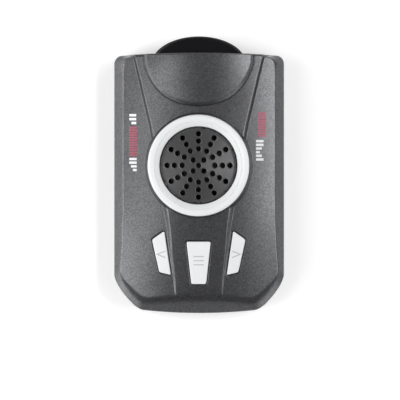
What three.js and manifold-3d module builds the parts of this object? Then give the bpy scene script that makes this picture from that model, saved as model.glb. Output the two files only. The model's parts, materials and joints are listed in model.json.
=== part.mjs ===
// A dashboard radar detector: a crowned two-part housing with a laser lens in front, a display
// window behind, a loudspeaker under a pierced grille, three keys, a power socket and a power
// switch. Units are millimetres. +X is the driver's right, +Y points at the road and +Z is up.
// The origin lies under the middle of the detector, level with the soles of its rubber feet.

import * as THREE from 'three';
import { mergeVertices } from 'three/addons/utils/BufferGeometryUtils.js';
import Module from 'manifold-3d';

const wasm = await Module();
wasm.setup();

// ---- Driving dimensions ----

const BODY_WIDTH = 70;
const BODY_LENGTH = 107.1;
const LENS_REACH = 6.8; // how far the laser lens stands ahead of the housing
const SIDE = BODY_WIDTH / 2;
const FRONT = (BODY_LENGTH - LENS_REACH) / 2;
const REAR = FRONT - BODY_LENGTH;
const WALL = 1.8;
const DRAFT = 0.5; // how far the bottom housing's sides lean in below the parting line
const SOLE_BEVEL = 3; // chamfer around the underside
const GAP = 0.15; // between two fixed neighbours
const RUNNING_GAP = 0.4; // around a piece that moves

// Levels, measured up from the feet's soles
const UNDERSIDE = 1;
const FLOOR = UNDERSIDE + WALL;
const PARTING = 14;
const PARTING_GROOVE = 0.2;
const BEVEL_START = 17.5;
const BEVEL_END = 21.5;
const DECK = 24.4; // top of the housing's crown on the centre line
const BOSS_TOP = 27.6;

// The crowned top: it falls to both sides and, behind FALL_START, to the rear
const CROWN = 0.003;
const FALL_START = -10;
const REAR_FALL = 0.00126;
const HOOD_RISE = 1.7;
const LOBE_RISE = 3.3;
const FADE_START = -15;
const FADE_END = -52.85;
const KEY_RISE = 0.5;

// Speaker
const SPEAKER_Y = FRONT - 46.3;
const RING_OUTER = 20.8;
const RING_INNER = 16;
const SPIGOT_INNER = 16.6;
const SPIGOT_OUTER = 17.4;
const GRILLE_RADIUS = 15.6;
const GRILLE_FLANGE = 16.4;
const BOSS_RADIUS = 22;
const BOSS_BOTTOM = 21;
const SPEAKER_SEAT = 23.6;
const SPEAKER_POCKET = 19;
const HOLE_RADIUS = 0.9;
const HOLE_SPOKES = 12;
const SPOKE_RADII = [6.75, 9.9, 12.95];
const INNER_HOLES = 4;
const INNER_HOLE_CIRCLE = 3.15;

// Laser lens and display window
const LENS_HALF_WIDTH = 19.5;
const LENS_DEPTH = 11.4;
const LENS_Y = FRONT + LENS_REACH - LENS_DEPTH;
const LENS_BOTTOM = 5.5;
const LENS_TOP = 25.2;
const LENS_WALL = 2;
const WINDOW_HALF_WIDTH = 20;
const WINDOW_BOTTOM = 5.5;
const WINDOW_TOP = 15.5;
const FLANGE = 1.1;

// Circuit boards
const BOARD_THICKNESS = 1.2;
const MAIN_BOARD = 3.9;
const MAIN_BOARD_TOP = MAIN_BOARD + BOARD_THICKNESS;
const MAIN_BOARD_SIZE = [48, 90];
const BUTTON_BOARD = 12.2;
const BUTTON_BOARD_TOP = BUTTON_BOARD + BOARD_THICKNESS;
const BUTTON_BOARD_SIZE = [47.5, 27];
const BUTTON_BOARD_Y = -32.5;

// Keys and their switches
const KEY_CORNER = 0.8;
const KEY_FLANGE = 0.8;
const KEY_STEM = 1.5;
const SWITCH_SIZE = 6;
const SWITCH_HEIGHT = 3.5;
const PLUNGER_RADIUS = 1.7;
const PLUNGER_TOP = 18.4;
const STEM_GAP = 0.1;

// Power socket, on the driver's right, and power switch, on the left
const SOCKET_Y = 12;
const SOCKET_Z = 9.2;
const SOCKET_BORE = 3.2;
const SOCKET_NOSE = 3.8;
const SOCKET_PIN = 1;
const POWER_SWITCH_Y = 14;
const POWER_SWITCH_Z = 8;
const SLIDER_TRAVEL = 2;

// Fasteners and feet
const HOUSING_SCREWS = {
  front_left: [-28.4, 39],
  front_right: [28.4, 39],
  rear_left: [-28, -37],
  rear_right: [28, -37],
};
const POST_RADIUS = 3.9;
const SCREW_HEAD = 2.6;
const SCREW_SHANK = 1.15;
const SCREW_SEAT = 4.5;
const SCREW_TIP = 18;
const BOARD_SCREWS = {
  front_left: [-21.4, -22],
  front_right: [21.4, -22],
  rear_left: [-20.6, -43.2],
  rear_right: [20.6, -43.2],
};
const FEET = {
  front_left: [-20, 34],
  front_right: [20, 34],
  rear_left: [-20, -42],
  rear_right: [20, -42],
};
const FOOT_RADIUS = 5;
const FOOT_RECESS = 0.6;
const LABEL_SIZE = [36, 22];
const LABEL_RECESS = 0.3;

// Facets: how many straight steps stand for a curve
const OUTLINE_STEPS = 4;
const LARGE_ROUND = 40;
const MEDIUM_ROUND = 28;
const SMALL_ROUND = 16;
const TINY_ROUND = 10;

const FINISHES = {
  paint: { color: 0x4b4c4e, roughness: 0.42, metalness: 0.45 },
  darkWindow: { color: 0x08080a, roughness: 0.08, metalness: 0 },
  smokedWindow: { color: 0x141012, roughness: 0.1, metalness: 0 },
  silver: { color: 0xe6e7e8, roughness: 0.35, metalness: 0.1 },
  grille: { color: 0x2e2f31, roughness: 0.5, metalness: 0.4 },
  black: { color: 0x17171a, roughness: 0.6, metalness: 0 },
  rubber: { color: 0x101010, roughness: 0.9, metalness: 0 },
  board: { color: 0x1c5a34, roughness: 0.5, metalness: 0 },
  steel: { color: 0xb4b6b9, roughness: 0.35, metalness: 1 },
  zinc: { color: 0x9a9da1, roughness: 0.4, metalness: 1 },
  brass: { color: 0xc8a24a, roughness: 0.3, metalness: 1 },
  paper: { color: 0x24211f, roughness: 0.95, metalness: 0 },
  foam: { color: 0x1b1b1c, roughness: 1, metalness: 0 },
  label: { color: 0xc9cbcd, roughness: 0.5, metalness: 0.2 },
  red: { color: 0xa3201c, roughness: 0.5, metalness: 0 },
  clear: { color: 0x2a2233, roughness: 0.1, metalness: 0 },
};

// ---- Solids ----

// Turns a closed three.js geometry into a solid that can be joined and cut.
function solid(geometry) {
  const bare = new THREE.BufferGeometry();
  bare.setAttribute('position', geometry.getAttribute('position'));
  if (geometry.index) bare.setIndex(geometry.index);
  const merged = mergeVertices(bare, 1e-4);
  return new wasm.Manifold(
    new wasm.Mesh({
      numProp: 3,
      vertProperties: merged.attributes.position.array,
      triVerts: new Uint32Array(merged.index.array),
    }),
  );
}

// Turns a solid back into a flat-shaded three.js geometry.
function geometryOf(body) {
  const { numProp, vertProperties, triVerts } = body.getMesh();
  const geometry = new THREE.BufferGeometry();
  geometry.setAttribute('position', new THREE.BufferAttribute(vertProperties, numProp));
  geometry.setIndex(new THREE.BufferAttribute(triVerts, 1));
  const flat = geometry.toNonIndexed();
  flat.computeVertexNormals();
  return flat;
}

function join(first, ...others) {
  return others.reduce((whole, piece) => whole.add(piece), first);
}

function cut(first, ...others) {
  return others.reduce((whole, piece) => whole.subtract(piece), first);
}

function box(xLow, xHigh, yLow, yHigh, zLow, zHigh) {
  const geometry = new THREE.BoxGeometry(xHigh - xLow, yHigh - yLow, zHigh - zLow);
  geometry.translate((xLow + xHigh) / 2, (yLow + yHigh) / 2, (zLow + zHigh) / 2);
  return solid(geometry);
}

function prism(points, zLow, zHigh) {
  const shape = new THREE.Shape(points);
  const geometry = new THREE.ExtrudeGeometry(shape, { depth: zHigh - zLow, bevelEnabled: false });
  geometry.translate(0, 0, zLow);
  return solid(geometry);
}

// A closed solid between two outlines with matching points, one above the other.
function loft(lower, upper, zLow, zHigh) {
  const shape = new THREE.Shape(lower);
  const geometry = new THREE.ExtrudeGeometry(shape, { depth: 1, bevelEnabled: false });
  const at = geometry.getAttribute('position');
  for (let i = 0; i < at.count; i += 1) {
    const here = new THREE.Vector2(at.getX(i), at.getY(i));
    const k = lower.findIndex((point) => point.distanceTo(here) < 1e-3);
    const onTop = at.getZ(i) > 0.5;
    const point = onTop ? upper[k] : lower[k];
    at.setXYZ(i, point.x, point.y, onTop ? zHigh : zLow);
  }
  return solid(geometry);
}

// An upright round bar.
function rod(radius, x, y, zLow, zHigh, segments = SMALL_ROUND) {
  const geometry = new THREE.CylinderGeometry(radius, radius, zHigh - zLow, segments);
  geometry.rotateX(Math.PI / 2);
  geometry.translate(x, y, (zLow + zHigh) / 2);
  return solid(geometry);
}

// A round bar that lies along X.
function sideRod(radius, xLow, xHigh, y, z, segments = SMALL_ROUND) {
  const geometry = new THREE.CylinderGeometry(radius, radius, xHigh - xLow, segments);
  geometry.rotateZ(Math.PI / 2);
  geometry.translate((xLow + xHigh) / 2, y, z);
  return solid(geometry);
}

// Spins a profile of [radius, height] pairs, listed from the top inwards out, about Z.
function turned(profile, segments = MEDIUM_ROUND) {
  const points = profile.map(([radius, height]) => new THREE.Vector2(radius, height));
  const geometry = new THREE.LatheGeometry(points.reverse(), segments);
  geometry.rotateX(Math.PI / 2);
  return geometry;
}

// ---- Outlines ----

// Closes a half outline, drawn on the right from front to rear, with its mirror image.
function mirrored(half) {
  const left = half.filter((point) => point.x > 1e-6);
  return [...half, ...left.reverse().map((point) => new THREE.Vector2(-point.x, point.y))];
}

// Moves every side of a clockwise outline inwards by the same distance.
function inset(points, distance) {
  return points.map((point, i) => {
    const before = points[(i + points.length - 1) % points.length];
    const after = points[(i + 1) % points.length];
    const arriving = point.clone().sub(before).normalize();
    const leaving = after.clone().sub(point).normalize();
    const along = arriving.add(leaving).normalize();
    const mitre = distance / along.dot(leaving);
    return new THREE.Vector2(point.x + along.y * mitre, point.y - along.x * mitre);
  });
}

// Replaces each corner of a polygon with a short curve.
function rounded(corners, radius) {
  const path = new THREE.Path();
  corners.forEach((corner, i) => {
    const before = corners[(i + corners.length - 1) % corners.length];
    const after = corners[(i + 1) % corners.length];
    const start = corner.clone().lerp(before, radius / corner.distanceTo(before));
    const end = corner.clone().lerp(after, radius / corner.distanceTo(after));
    if (i === 0) path.moveTo(start.x, start.y);
    else path.lineTo(start.x, start.y);
    path.quadraticCurveTo(corner.x, corner.y, end.x, end.y);
  });
  return path.getPoints(3);
}

function rectangle(width, length, radius = 1) {
  const [x, y] = [width / 2, length / 2];
  const corners = [
    new THREE.Vector2(-x, y),
    new THREE.Vector2(x, y),
    new THREE.Vector2(x, -y),
    new THREE.Vector2(-x, -y),
  ];
  return rounded(corners, radius);
}

// One outline of the housing. The front is slightly bowed, the sides are straight, and the
// rear corners are cut away by long soft chamfers that end in a bowed rear edge.
function housingOutline({ side, front, bow, corner, shoulder, chamfer, rearCorner, rear }) {
  const path = new THREE.Path();
  path.moveTo(0, front);
  path.quadraticCurveTo(side / 2, front, side - corner, front - bow);
  path.absarc(side - corner, front - bow - corner, corner, Math.PI / 2, 0, true);
  path.lineTo(side, shoulder);
  path.quadraticCurveTo(...chamfer);
  path.quadraticCurveTo(...rearCorner);
  path.quadraticCurveTo(rearCorner[2] / 2, rear, 0, rear);
  return mirrored(path.getPoints(OUTLINE_STEPS));
}

const WIDEST = housingOutline({
  side: SIDE,
  front: FRONT,
  bow: 0.7,
  corner: 3.4,
  shoulder: REAR + 15.7,
  chamfer: [SIDE - 0.8, REAR + 10.75, SIDE - 7.8, REAR + 3.65],
  rearCorner: [SIDE - 10.4, REAR + 1.4, SIDE - 12.2, REAR + 1.2],
  rear: REAR,
});

const DECK_EDGE = housingOutline({
  side: SIDE - 3.7,
  front: FRONT - 2.6,
  bow: 0.7,
  corner: 2.6,
  shoulder: REAR + 18,
  chamfer: [SIDE - 4.6, REAR + 13.6, SIDE - 10.4, REAR + 7.1],
  rearCorner: [SIDE - 12.2, REAR + 5.5, SIDE - 14.4, REAR + 5.1],
  rear: REAR + 4.7,
});

// Half widths of the raised hood at distances behind the front edge.
const HOOD_HALF = [
  [26.5, 0.5],
  [23.3, 15],
  [21.4, 23.3],
  [19.9, 29.5],
  [13.5, 64],
  [12.3, 72],
  [11.2, 82],
  [10, 92],
  [9.3, 102.5],
];
const HOOD_OUTLINE = mirrored(
  [[0, 0.5], ...HOOD_HALF, [0, 102.5]].map(([x, back]) => new THREE.Vector2(x, FRONT - back)),
);

// The lobe over the laser lens: a raised half disc with its flat side in front.
function lobeOutline() {
  const path = new THREE.Path();
  path.moveTo(0, FRONT - 0.2);
  path.lineTo(22.4, FRONT - 0.2);
  path.lineTo(22.4, FRONT - 4.2);
  path.quadraticCurveTo(17.2, FRONT - 21.3, 0, FRONT - 21.5);
  return mirrored(path.getPoints(8));
}

// The front half of an ellipse, with straight sides that run back from its widest place.
function lensOutline(halfWidth, depth) {
  const path = new THREE.Path();
  path.moveTo(-halfWidth, LENS_Y - 4);
  path.absellipse(0, LENS_Y, halfWidth, depth, Math.PI, 0, true);
  path.lineTo(halfWidth, LENS_Y - 4);
  return path.getPoints(12);
}

function sideKeyOutline(sign) {
  const corners = [
    [14.1, 22.95],
    [19.25, 26.55],
    [16.25, 40],
    [11.45, 41.15],
  ].map(([x, back]) => new THREE.Vector2(sign * x, -back));
  return rounded(sign > 0 ? corners : corners.reverse(), KEY_CORNER);
}

function modeKeyOutline() {
  const corners = [
    new THREE.Vector2(-5, -27.35),
    new THREE.Vector2(5, -27.35),
    new THREE.Vector2(3.05, -44.85),
    new THREE.Vector2(-3.05, -44.85),
  ];
  return rounded(corners, KEY_CORNER);
}

const KEYS = {
  left: { outline: sideKeyOutline(-1), rise: 0, stem: [-15.2, -32.8] },
  mode: { outline: modeKeyOutline(), rise: HOOD_RISE, stem: [0, -35.5] },
  right: { outline: sideKeyOutline(1), rise: 0, stem: [15.2, -32.8] },
};

// ---- Housing ----

// Height of the crowned top. The rise above the deck fades out towards the rear.
function topHeight(x, y, rise) {
  const fall = REAR_FALL * Math.max(0, FALL_START - y) ** 2;
  const fade = THREE.MathUtils.clamp((y - FADE_END) / (FADE_START - FADE_END), 0, 1);
  return DECK + rise * fade - CROWN * x * x - fall;
}

// Everything below the crowned top, or below a level parallel to it.
function underCrown(rise, below = 0) {
  const geometry = new THREE.BoxGeometry(SIDE * 2.4, BODY_LENGTH * 1.1, 1, 12, 8, 1);
  const at = geometry.getAttribute('position');
  for (let i = 0; i < at.count; i += 1) {
    const top = topHeight(at.getX(i), at.getY(i), rise) - below;
    at.setZ(i, at.getZ(i) > 0 ? top : -UNDERSIDE);
  }
  return solid(geometry);
}

// The bevelled sides of the top housing, carried on upwards until the crown cuts them off.
function bevelledSides(lower, upper, high) {
  const reach = (high - BEVEL_START) / (BEVEL_END - BEVEL_START);
  const carried = lower.map((point, i) => point.clone().lerp(upper[i], reach));
  return join(
    prism(lower, PARTING + PARTING_GROOVE, BEVEL_START),
    loft(lower, carried, BEVEL_START, high),
  );
}

// The room that the laser lens takes in the front wall.
function lensOpening() {
  const outline = lensOutline(LENS_HALF_WIDTH + GAP, LENS_DEPTH + GAP);
  return prism(outline, LENS_BOTTOM - GAP, LENS_TOP + GAP);
}

function windowOpening() {
  const halfWidth = WINDOW_HALF_WIDTH + GAP;
  return box(-halfWidth, halfWidth, REAR - 1, REAR + 5, WINDOW_BOTTOM - GAP, WINDOW_TOP + GAP);
}

function topHousing() {
  const hood = prism(HOOD_OUTLINE, PARTING + 2, DECK + 9).intersect(underCrown(HOOD_RISE));
  const lobe = prism(lobeOutline(), PARTING + 2, DECK + 9).intersect(underCrown(LOBE_RISE));
  const speakerBoss = rod(BOSS_RADIUS, 0, SPEAKER_Y, BOSS_BOTTOM, BOSS_TOP, LARGE_ROUND);
  const sides = bevelledSides(WIDEST, DECK_EDGE, DECK + 1);
  const outside = join(sides.intersect(underCrown(0)), hood, lobe, speakerBoss);

  const cavity = bevelledSides(inset(WIDEST, WALL), inset(DECK_EDGE, WALL), DECK - 1);
  const hoodCavity = prism(inset(HOOD_OUTLINE, WALL), PARTING, DECK + 9);
  const inside = join(
    cavity.intersect(underCrown(0, WALL)),
    hoodCavity.intersect(underCrown(HOOD_RISE, WALL)),
    prism(inset(WIDEST, WALL), PARTING - 1, BEVEL_START),
  );
  const pocket = rod(SPEAKER_POCKET, 0, SPEAKER_Y, PARTING, SPEAKER_SEAT, LARGE_ROUND);
  let shell = outside.subtract(inside).add(speakerBoss).subtract(pocket);

  // Bosses for the screws of the housing and of the button board hang from the crown.
  const hanging = [
    ...Object.values(HOUSING_SCREWS).map((place) => [place, 3.2, PARTING + PARTING_GROOVE]),
    ...Object.values(BOARD_SCREWS).map((place) => [place, 2.2, BUTTON_BOARD_TOP + GAP]),
  ];
  for (const [[x, y], radius, low] of hanging) {
    const boss = rod(radius, x, y, low, DECK, TINY_ROUND).intersect(underCrown(0, WALL / 2));
    const pilot = rod(SCREW_SHANK + 0.2, x, y, low - 1, low + 5, TINY_ROUND);
    shell = shell.add(boss).subtract(pilot);
  }

  shell = cut(
    shell,
    rod(SPIGOT_OUTER + GAP, 0, SPEAKER_Y, SPEAKER_SEAT - 1, BOSS_TOP + 1, LARGE_ROUND),
    lensOpening(),
    windowOpening(),
  );
  for (const { outline } of Object.values(KEYS)) {
    shell = shell.subtract(prism(inset(outline, -RUNNING_GAP), BEVEL_START - 1, DECK + 9));
  }
  return geometryOf(shell);
}

function bottomHousing() {
  const waist = inset(WIDEST, DRAFT);
  const shoulder = UNDERSIDE + SOLE_BEVEL;
  let shell = join(
    loft(inset(WIDEST, SOLE_BEVEL), waist, UNDERSIDE, shoulder),
    loft(waist, WIDEST, shoulder, PARTING),
  );
  const innerWaist = inset(WIDEST, DRAFT + WALL);
  const inside = join(
    loft(inset(WIDEST, SOLE_BEVEL + 0.3), innerWaist, FLOOR, shoulder + 0.5),
    loft(innerWaist, inset(WIDEST, WALL), shoulder + 0.5, PARTING + 1),
  );
  shell = shell.subtract(inside);

  // Screw posts, and pegs under the corners of the main circuit board.
  for (const [x, y] of Object.values(HOUSING_SCREWS)) {
    shell = shell.add(rod(POST_RADIUS, x, y, UNDERSIDE + 0.5, PARTING));
    shell = shell.subtract(rod(SCREW_HEAD + 0.3, x, y, 0, SCREW_SEAT));
    shell = shell.subtract(rod(SCREW_SHANK + 0.2, x, y, 0, PARTING + 1, TINY_ROUND));
  }
  const [pegX, pegY] = [MAIN_BOARD_SIZE[0] / 2 - 3, MAIN_BOARD_SIZE[1] / 2 - 3];
  for (const x of [-pegX, pegX]) {
    for (const y of [-pegY, pegY]) {
      shell = shell.add(rod(2, x, y, FLOOR - 0.5, MAIN_BOARD - 0.1, TINY_ROUND));
    }
  }

  for (const [x, y] of Object.values(FEET)) {
    shell = shell.subtract(rod(FOOT_RADIUS + GAP, x, y, 0, UNDERSIDE + FOOT_RECESS));
  }
  const [labelWidth, labelLength] = LABEL_SIZE;
  const labelRoom = rectangle(labelWidth + 0.4, labelLength + 0.4);
  const [switchLow, switchHigh] = [POWER_SWITCH_Z - 2.8, POWER_SWITCH_Z + 2.8];
  shell = cut(
    shell,
    prism(labelRoom, 0, UNDERSIDE + LABEL_RECESS),
    lensOpening(),
    windowOpening(),
    sideRod(SOCKET_NOSE + 0.2, SIDE - 4, SIDE + 1, SOCKET_Y, SOCKET_Z, MEDIUM_ROUND),
    box(-SIDE - 1, -SIDE + 1.1, POWER_SWITCH_Y - 6, POWER_SWITCH_Y + 6, switchLow, switchHigh),
    sliderSlot(-SIDE, -SIDE + 4),
  );
  return geometryOf(shell);
}

// The slot that the power switch's stem slides along.
function sliderSlot(xLow, xHigh) {
  const [halfLength, halfHeight] = [1.7 + SLIDER_TRAVEL / 2, 1.5];
  return box(
    xLow,
    xHigh,
    POWER_SWITCH_Y - halfLength,
    POWER_SWITCH_Y + halfLength,
    POWER_SWITCH_Z - halfHeight,
    POWER_SWITCH_Z + halfHeight,
  );
}

// ---- Windows ----

function laserLens() {
  const flangeY = FRONT - 3.1;
  const flangeX = LENS_HALF_WIDTH + FLANGE;
  const outside = prism(lensOutline(LENS_HALF_WIDTH, LENS_DEPTH), LENS_BOTTOM, LENS_TOP);
  const behind = box(-SIDE, SIDE, REAR, flangeY - WALL, 0, DECK + 9);
  const flange = box(-flangeX, flangeX, flangeY - WALL, flangeY, LENS_BOTTOM - FLANGE, LENS_TOP - 4);
  const hollow = prism(
    lensOutline(LENS_HALF_WIDTH - LENS_WALL, LENS_DEPTH - LENS_WALL),
    LENS_BOTTOM + LENS_WALL,
    LENS_TOP - LENS_WALL,
  );
  return geometryOf(outside.subtract(behind).add(flange).subtract(hollow));
}

// A strip of rear wall between two depths behind the widest outline.
function rearStrip(halfWidth, outer, inner, zLow, zHigh) {
  const inside = prism(inset(WIDEST, inner), zLow - 1, zHigh + 1);
  const wall = prism(inset(WIDEST, outer), zLow, zHigh).subtract(inside);
  return wall.intersect(box(-halfWidth, halfWidth, REAR - 1, REAR + 8, zLow - 1, zHigh + 1));
}

function displayWindow() {
  const pane = rearStrip(WINDOW_HALF_WIDTH, 0.6, 2.8, WINDOW_BOTTOM, WINDOW_TOP);
  const [low, high] = [WINDOW_BOTTOM - FLANGE, WINDOW_TOP + FLANGE];
  return geometryOf(pane.add(rearStrip(WINDOW_HALF_WIDTH + FLANGE, 2.5, 3.3, low, high)));
}

// ---- Speaker ----

function speakerRing() {
  return turned([
    [RING_INNER, 28.6],
    [18.4, 30.4],
    [19.6, 30.6],
    [20.4, 30.3],
    [RING_OUTER, 29.6],
    [RING_OUTER, BOSS_TOP + GAP],
    [SPIGOT_OUTER, BOSS_TOP + GAP],
    [SPIGOT_OUTER, 25],
    [SPIGOT_INNER, 25],
    [SPIGOT_INNER, 27.3],
    [RING_INNER, 27.3],
    [RING_INNER, 28.6],
  ], LARGE_ROUND);
}

function speakerGrille() {
  const dish = [
    [0, 26.9],
    [8.3, 27.2],
    [14.6, 28],
    [GRILLE_RADIUS, 28],
    [GRILLE_RADIUS, 27.15],
    [GRILLE_FLANGE, 27.15],
    [GRILLE_FLANGE, 26.4],
    [14.6, 26.4],
    [0, 25.7],
  ];
  let plate = solid(turned(dish));
  const drill = (radius, angle) => {
    const [x, y] = [radius * Math.cos(angle), radius * Math.sin(angle)];
    plate = plate.subtract(rod(HOLE_RADIUS, x, y, 25, 29, 8));
  };
  drill(0, 0);
  for (let i = 0; i < INNER_HOLES; i += 1) {
    drill(INNER_HOLE_CIRCLE, ((i + 0.5) / INNER_HOLES) * 2 * Math.PI);
  }
  for (let spoke = 0; spoke < HOLE_SPOKES; spoke += 1) {
    for (const radius of SPOKE_RADII) drill(radius, (spoke / HOLE_SPOKES) * 2 * Math.PI);
  }
  return geometryOf(plate);
}

function speakerGasket() {
  return turned([
    [15, SPEAKER_SEAT - 0.1],
    [18.4, SPEAKER_SEAT - 0.1],
    [18.4, SPEAKER_SEAT - 0.9],
    [15, SPEAKER_SEAT - 0.9],
    [15, SPEAKER_SEAT - 0.1],
  ]);
}

function speakerFrame() {
  return turned([
    [14.7, 22.6],
    [18.4, 22.6],
    [18.4, 21.4],
    [15.7, 21.4],
    [9.2, 15.2],
    [9.2, 14.6],
    [5.3, 14.6],
    [5.3, 15.4],
    [8.2, 15.4],
    [14.7, 21.6],
    [14.7, 22.6],
  ]);
}

function speakerCone() {
  return turned([
    [0, 19.6],
    [2.6, 19.2],
    [4.6, 18.2],
    [12.4, 22.1],
    [13.3, 22.7],
    [14.2, 22.1],
    [14.2, 21.7],
    [13.3, 22.2],
    [12.5, 21.6],
    [4.4, 17.2],
    [4.4, 13],
    [4, 13],
    [4, 17.6],
    [2.4, 18.6],
    [0, 19],
  ]);
}

function speakerMagnet() {
  return turned([
    [0, 14.4],
    [3.5, 14.4],
    [3.5, 11.6],
    [4.9, 11.6],
    [4.9, 14.4],
    [8.4, 14.4],
    [8.4, 10],
    [0, 10],
  ]);
}

// A thin insulated wire from a terminal under the speaker's rim down to the main board.
function speakerLead(x, y) {
  const route = new THREE.CatmullRomCurve3([
    new THREE.Vector3(x, y, 21.2),
    new THREE.Vector3(x + 1.2, y - 1, 16),
    new THREE.Vector3(x + 1, y - 2.5, 10),
    new THREE.Vector3(x, y - 3, MAIN_BOARD_TOP + 0.1),
  ]);
  const section = new THREE.Shape();
  section.absarc(0, 0, 0.55, 0, 2 * Math.PI);
  return new THREE.ExtrudeGeometry(section, { steps: 8, curveSegments: 3, extrudePath: route });
}

// ---- Keys ----

function key({ outline, rise, stem }) {
  const [x, y] = stem;
  const cap = prism(outline, 19, DECK + 9).intersect(underCrown(rise + KEY_RISE));
  const flange = prism(inset(outline, -KEY_FLANGE - RUNNING_GAP), 19, DECK + 9);
  return geometryOf(
    join(
      cap,
      flange.intersect(underCrown(rise, WALL + GAP)),
      rod(KEY_STEM, x, y, PLUNGER_TOP + STEM_GAP, 20),
    ),
  );
}

function tactSwitch() {
  const half = SWITCH_SIZE / 2;
  const body = box(-half, half, -half, half, 0, SWITCH_HEIGHT);
  return geometryOf(body.subtract(rod(PLUNGER_RADIUS + GAP, 0, 0, 1.2, SWITCH_HEIGHT + 1)));
}

function tactPlunger() {
  const height = PLUNGER_TOP - BUTTON_BOARD_TOP - GAP;
  const geometry = new THREE.CylinderGeometry(PLUNGER_RADIUS, PLUNGER_RADIUS, height - 1.8, SMALL_ROUND);
  geometry.rotateX(Math.PI / 2);
  return geometry.translate(0, 0, height - (height - 1.8) / 2);
}

// ---- Boards and what they carry ----

function board([width, length], posts = []) {
  let plate = prism(rectangle(width, length), 0, BOARD_THICKNESS);
  for (const [x, y] of posts) plate = plate.subtract(rod(SCREW_SHANK + 0.2, x, y, -1, 2, TINY_ROUND));
  return geometryOf(plate);
}

function chip(width, length, height) {
  const geometry = new THREE.BoxGeometry(width, length, height);
  return geometry.translate(0, 0, height / 2);
}

function displayModule() {
  const face = box(-17, 17, -1.8, 1.8, 0, 9);
  const digits = [-11, -3.5, 4, 11].map((x) => box(x - 2.4, x + 2.4, -3, -1.5, 1.4, 7.6));
  return geometryOf(cut(face, ...digits));
}

// The cast horn, built pointing up and turned to face the road where it is placed.
function hornAntenna() {
  const plate = (halfWidth, halfHeight) => [
    new THREE.Vector2(-halfWidth, halfHeight),
    new THREE.Vector2(halfWidth, halfHeight),
    new THREE.Vector2(halfWidth, -halfHeight),
    new THREE.Vector2(-halfWidth, -halfHeight),
  ];
  const outside = loft(plate(6.4, 3.6), plate(15.5, 5.9), 0, 24);
  const hollow = loft(plate(5, 2.4), plate(14.4, 4.8), -0.5, 24.5);
  return geometryOf(outside.subtract(hollow));
}

function laserDiode() {
  return turned([
    [0, 5.8],
    [1.8, 5.2],
    [2.5, 3.8],
    [2.5, 1],
    [2.9, 1],
    [2.9, 0],
    [0, 0],
  ], SMALL_ROUND);
}

function capacitor() {
  return turned([
    [0, 7.6],
    [2.7, 7.6],
    [3.15, 7.2],
    [3.15, 0],
    [0, 0],
  ], SMALL_ROUND);
}

// ---- Power socket and switch ----

function socketBody() {
  const block = box(21, 32.4, SOCKET_Y - 4.5, SOCKET_Y + 4.5, MAIN_BOARD_TOP + 0.1, 13.2);
  const nose = sideRod(SOCKET_NOSE, 32, SIDE - 0.8, SOCKET_Y, SOCKET_Z, MEDIUM_ROUND);
  const bore = sideRod(SOCKET_BORE, 24.5, SIDE + 1, SOCKET_Y, SOCKET_Z, MEDIUM_ROUND);
  const pinHole = sideRod(SOCKET_PIN + GAP, 22.5, 25, SOCKET_Y, SOCKET_Z);
  return geometryOf(cut(block.add(nose), bore, pinHole));
}

function socketPin() {
  return geometryOf(sideRod(SOCKET_PIN, 22.7, 30.2, SOCKET_Y, SOCKET_Z));
}

function switchBody() {
  const [low, high] = [MAIN_BOARD_TOP + 0.1, POWER_SWITCH_Z + 2.9];
  const block = box(-32.6, -27, POWER_SWITCH_Y - 5.5, POWER_SWITCH_Y + 5.5, low, high);
  return geometryOf(block.subtract(sliderSlot(-33, -30.6)));
}

// The slider's cap has grooves for a fingernail. It rests at the rear end of its travel.
function switchKnob() {
  const y = POWER_SWITCH_Y - SLIDER_TRAVEL / 2;
  let knob = join(
    box(-SIDE + 0.45, -SIDE + 0.98, y - 3, y + 3, POWER_SWITCH_Z - 2.2, POWER_SWITCH_Z + 2.2),
    box(-SIDE + 0.9, -SIDE + 4.2, y - 1.3, y + 1.3, POWER_SWITCH_Z - 1.1, POWER_SWITCH_Z + 1.1),
  );
  for (const ridge of [-2, -1, 0, 1, 2]) {
    knob = knob.subtract(box(-SIDE, -SIDE + 0.7, y + ridge - 0.2, y + ridge + 0.2, 0, PARTING));
  }
  return geometryOf(knob);
}

// ---- Fasteners and feet ----

// A pan-head screw with a cross recess, head down.
function screw(headRadius, headHeight, shankRadius, length) {
  const whole = solid(turned([
    [0, length],
    [shankRadius, length - 1],
    [shankRadius, headHeight],
    [headRadius, headHeight],
    [headRadius, headHeight * 0.4],
    [headRadius * 0.8, 0],
    [0, 0],
  ], TINY_ROUND));
  const slot = headRadius * 0.6;
  const recess = headHeight * 0.5;
  return geometryOf(
    cut(whole, box(-slot, slot, -0.35, 0.35, -1, recess), box(-0.35, 0.35, -slot, slot, -1, recess)),
  );
}

function rubberFoot() {
  return turned([
    [0, UNDERSIDE + FOOT_RECESS - 0.1],
    [FOOT_RADIUS, UNDERSIDE + FOOT_RECESS - 0.1],
    [FOOT_RADIUS, 0.8],
    [FOOT_RADIUS - 0.6, 0],
    [0, 0],
  ], SMALL_ROUND);
}

// ---- Assembly ----

const detector = new THREE.Group();

function add(name, geometry, finish, x = 0, y = 0, z = 0) {
  const mesh = new THREE.Mesh(geometry, new THREE.MeshStandardMaterial(FINISHES[finish]));
  mesh.name = name;
  mesh.position.set(x, y, z);
  detector.add(mesh);
  return mesh;
}

add('top_housing', topHousing(), 'paint');
add('bottom_housing', bottomHousing(), 'paint');
add('laser_lens', laserLens(), 'darkWindow');
add('display_window', displayWindow(), 'smokedWindow');

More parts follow.
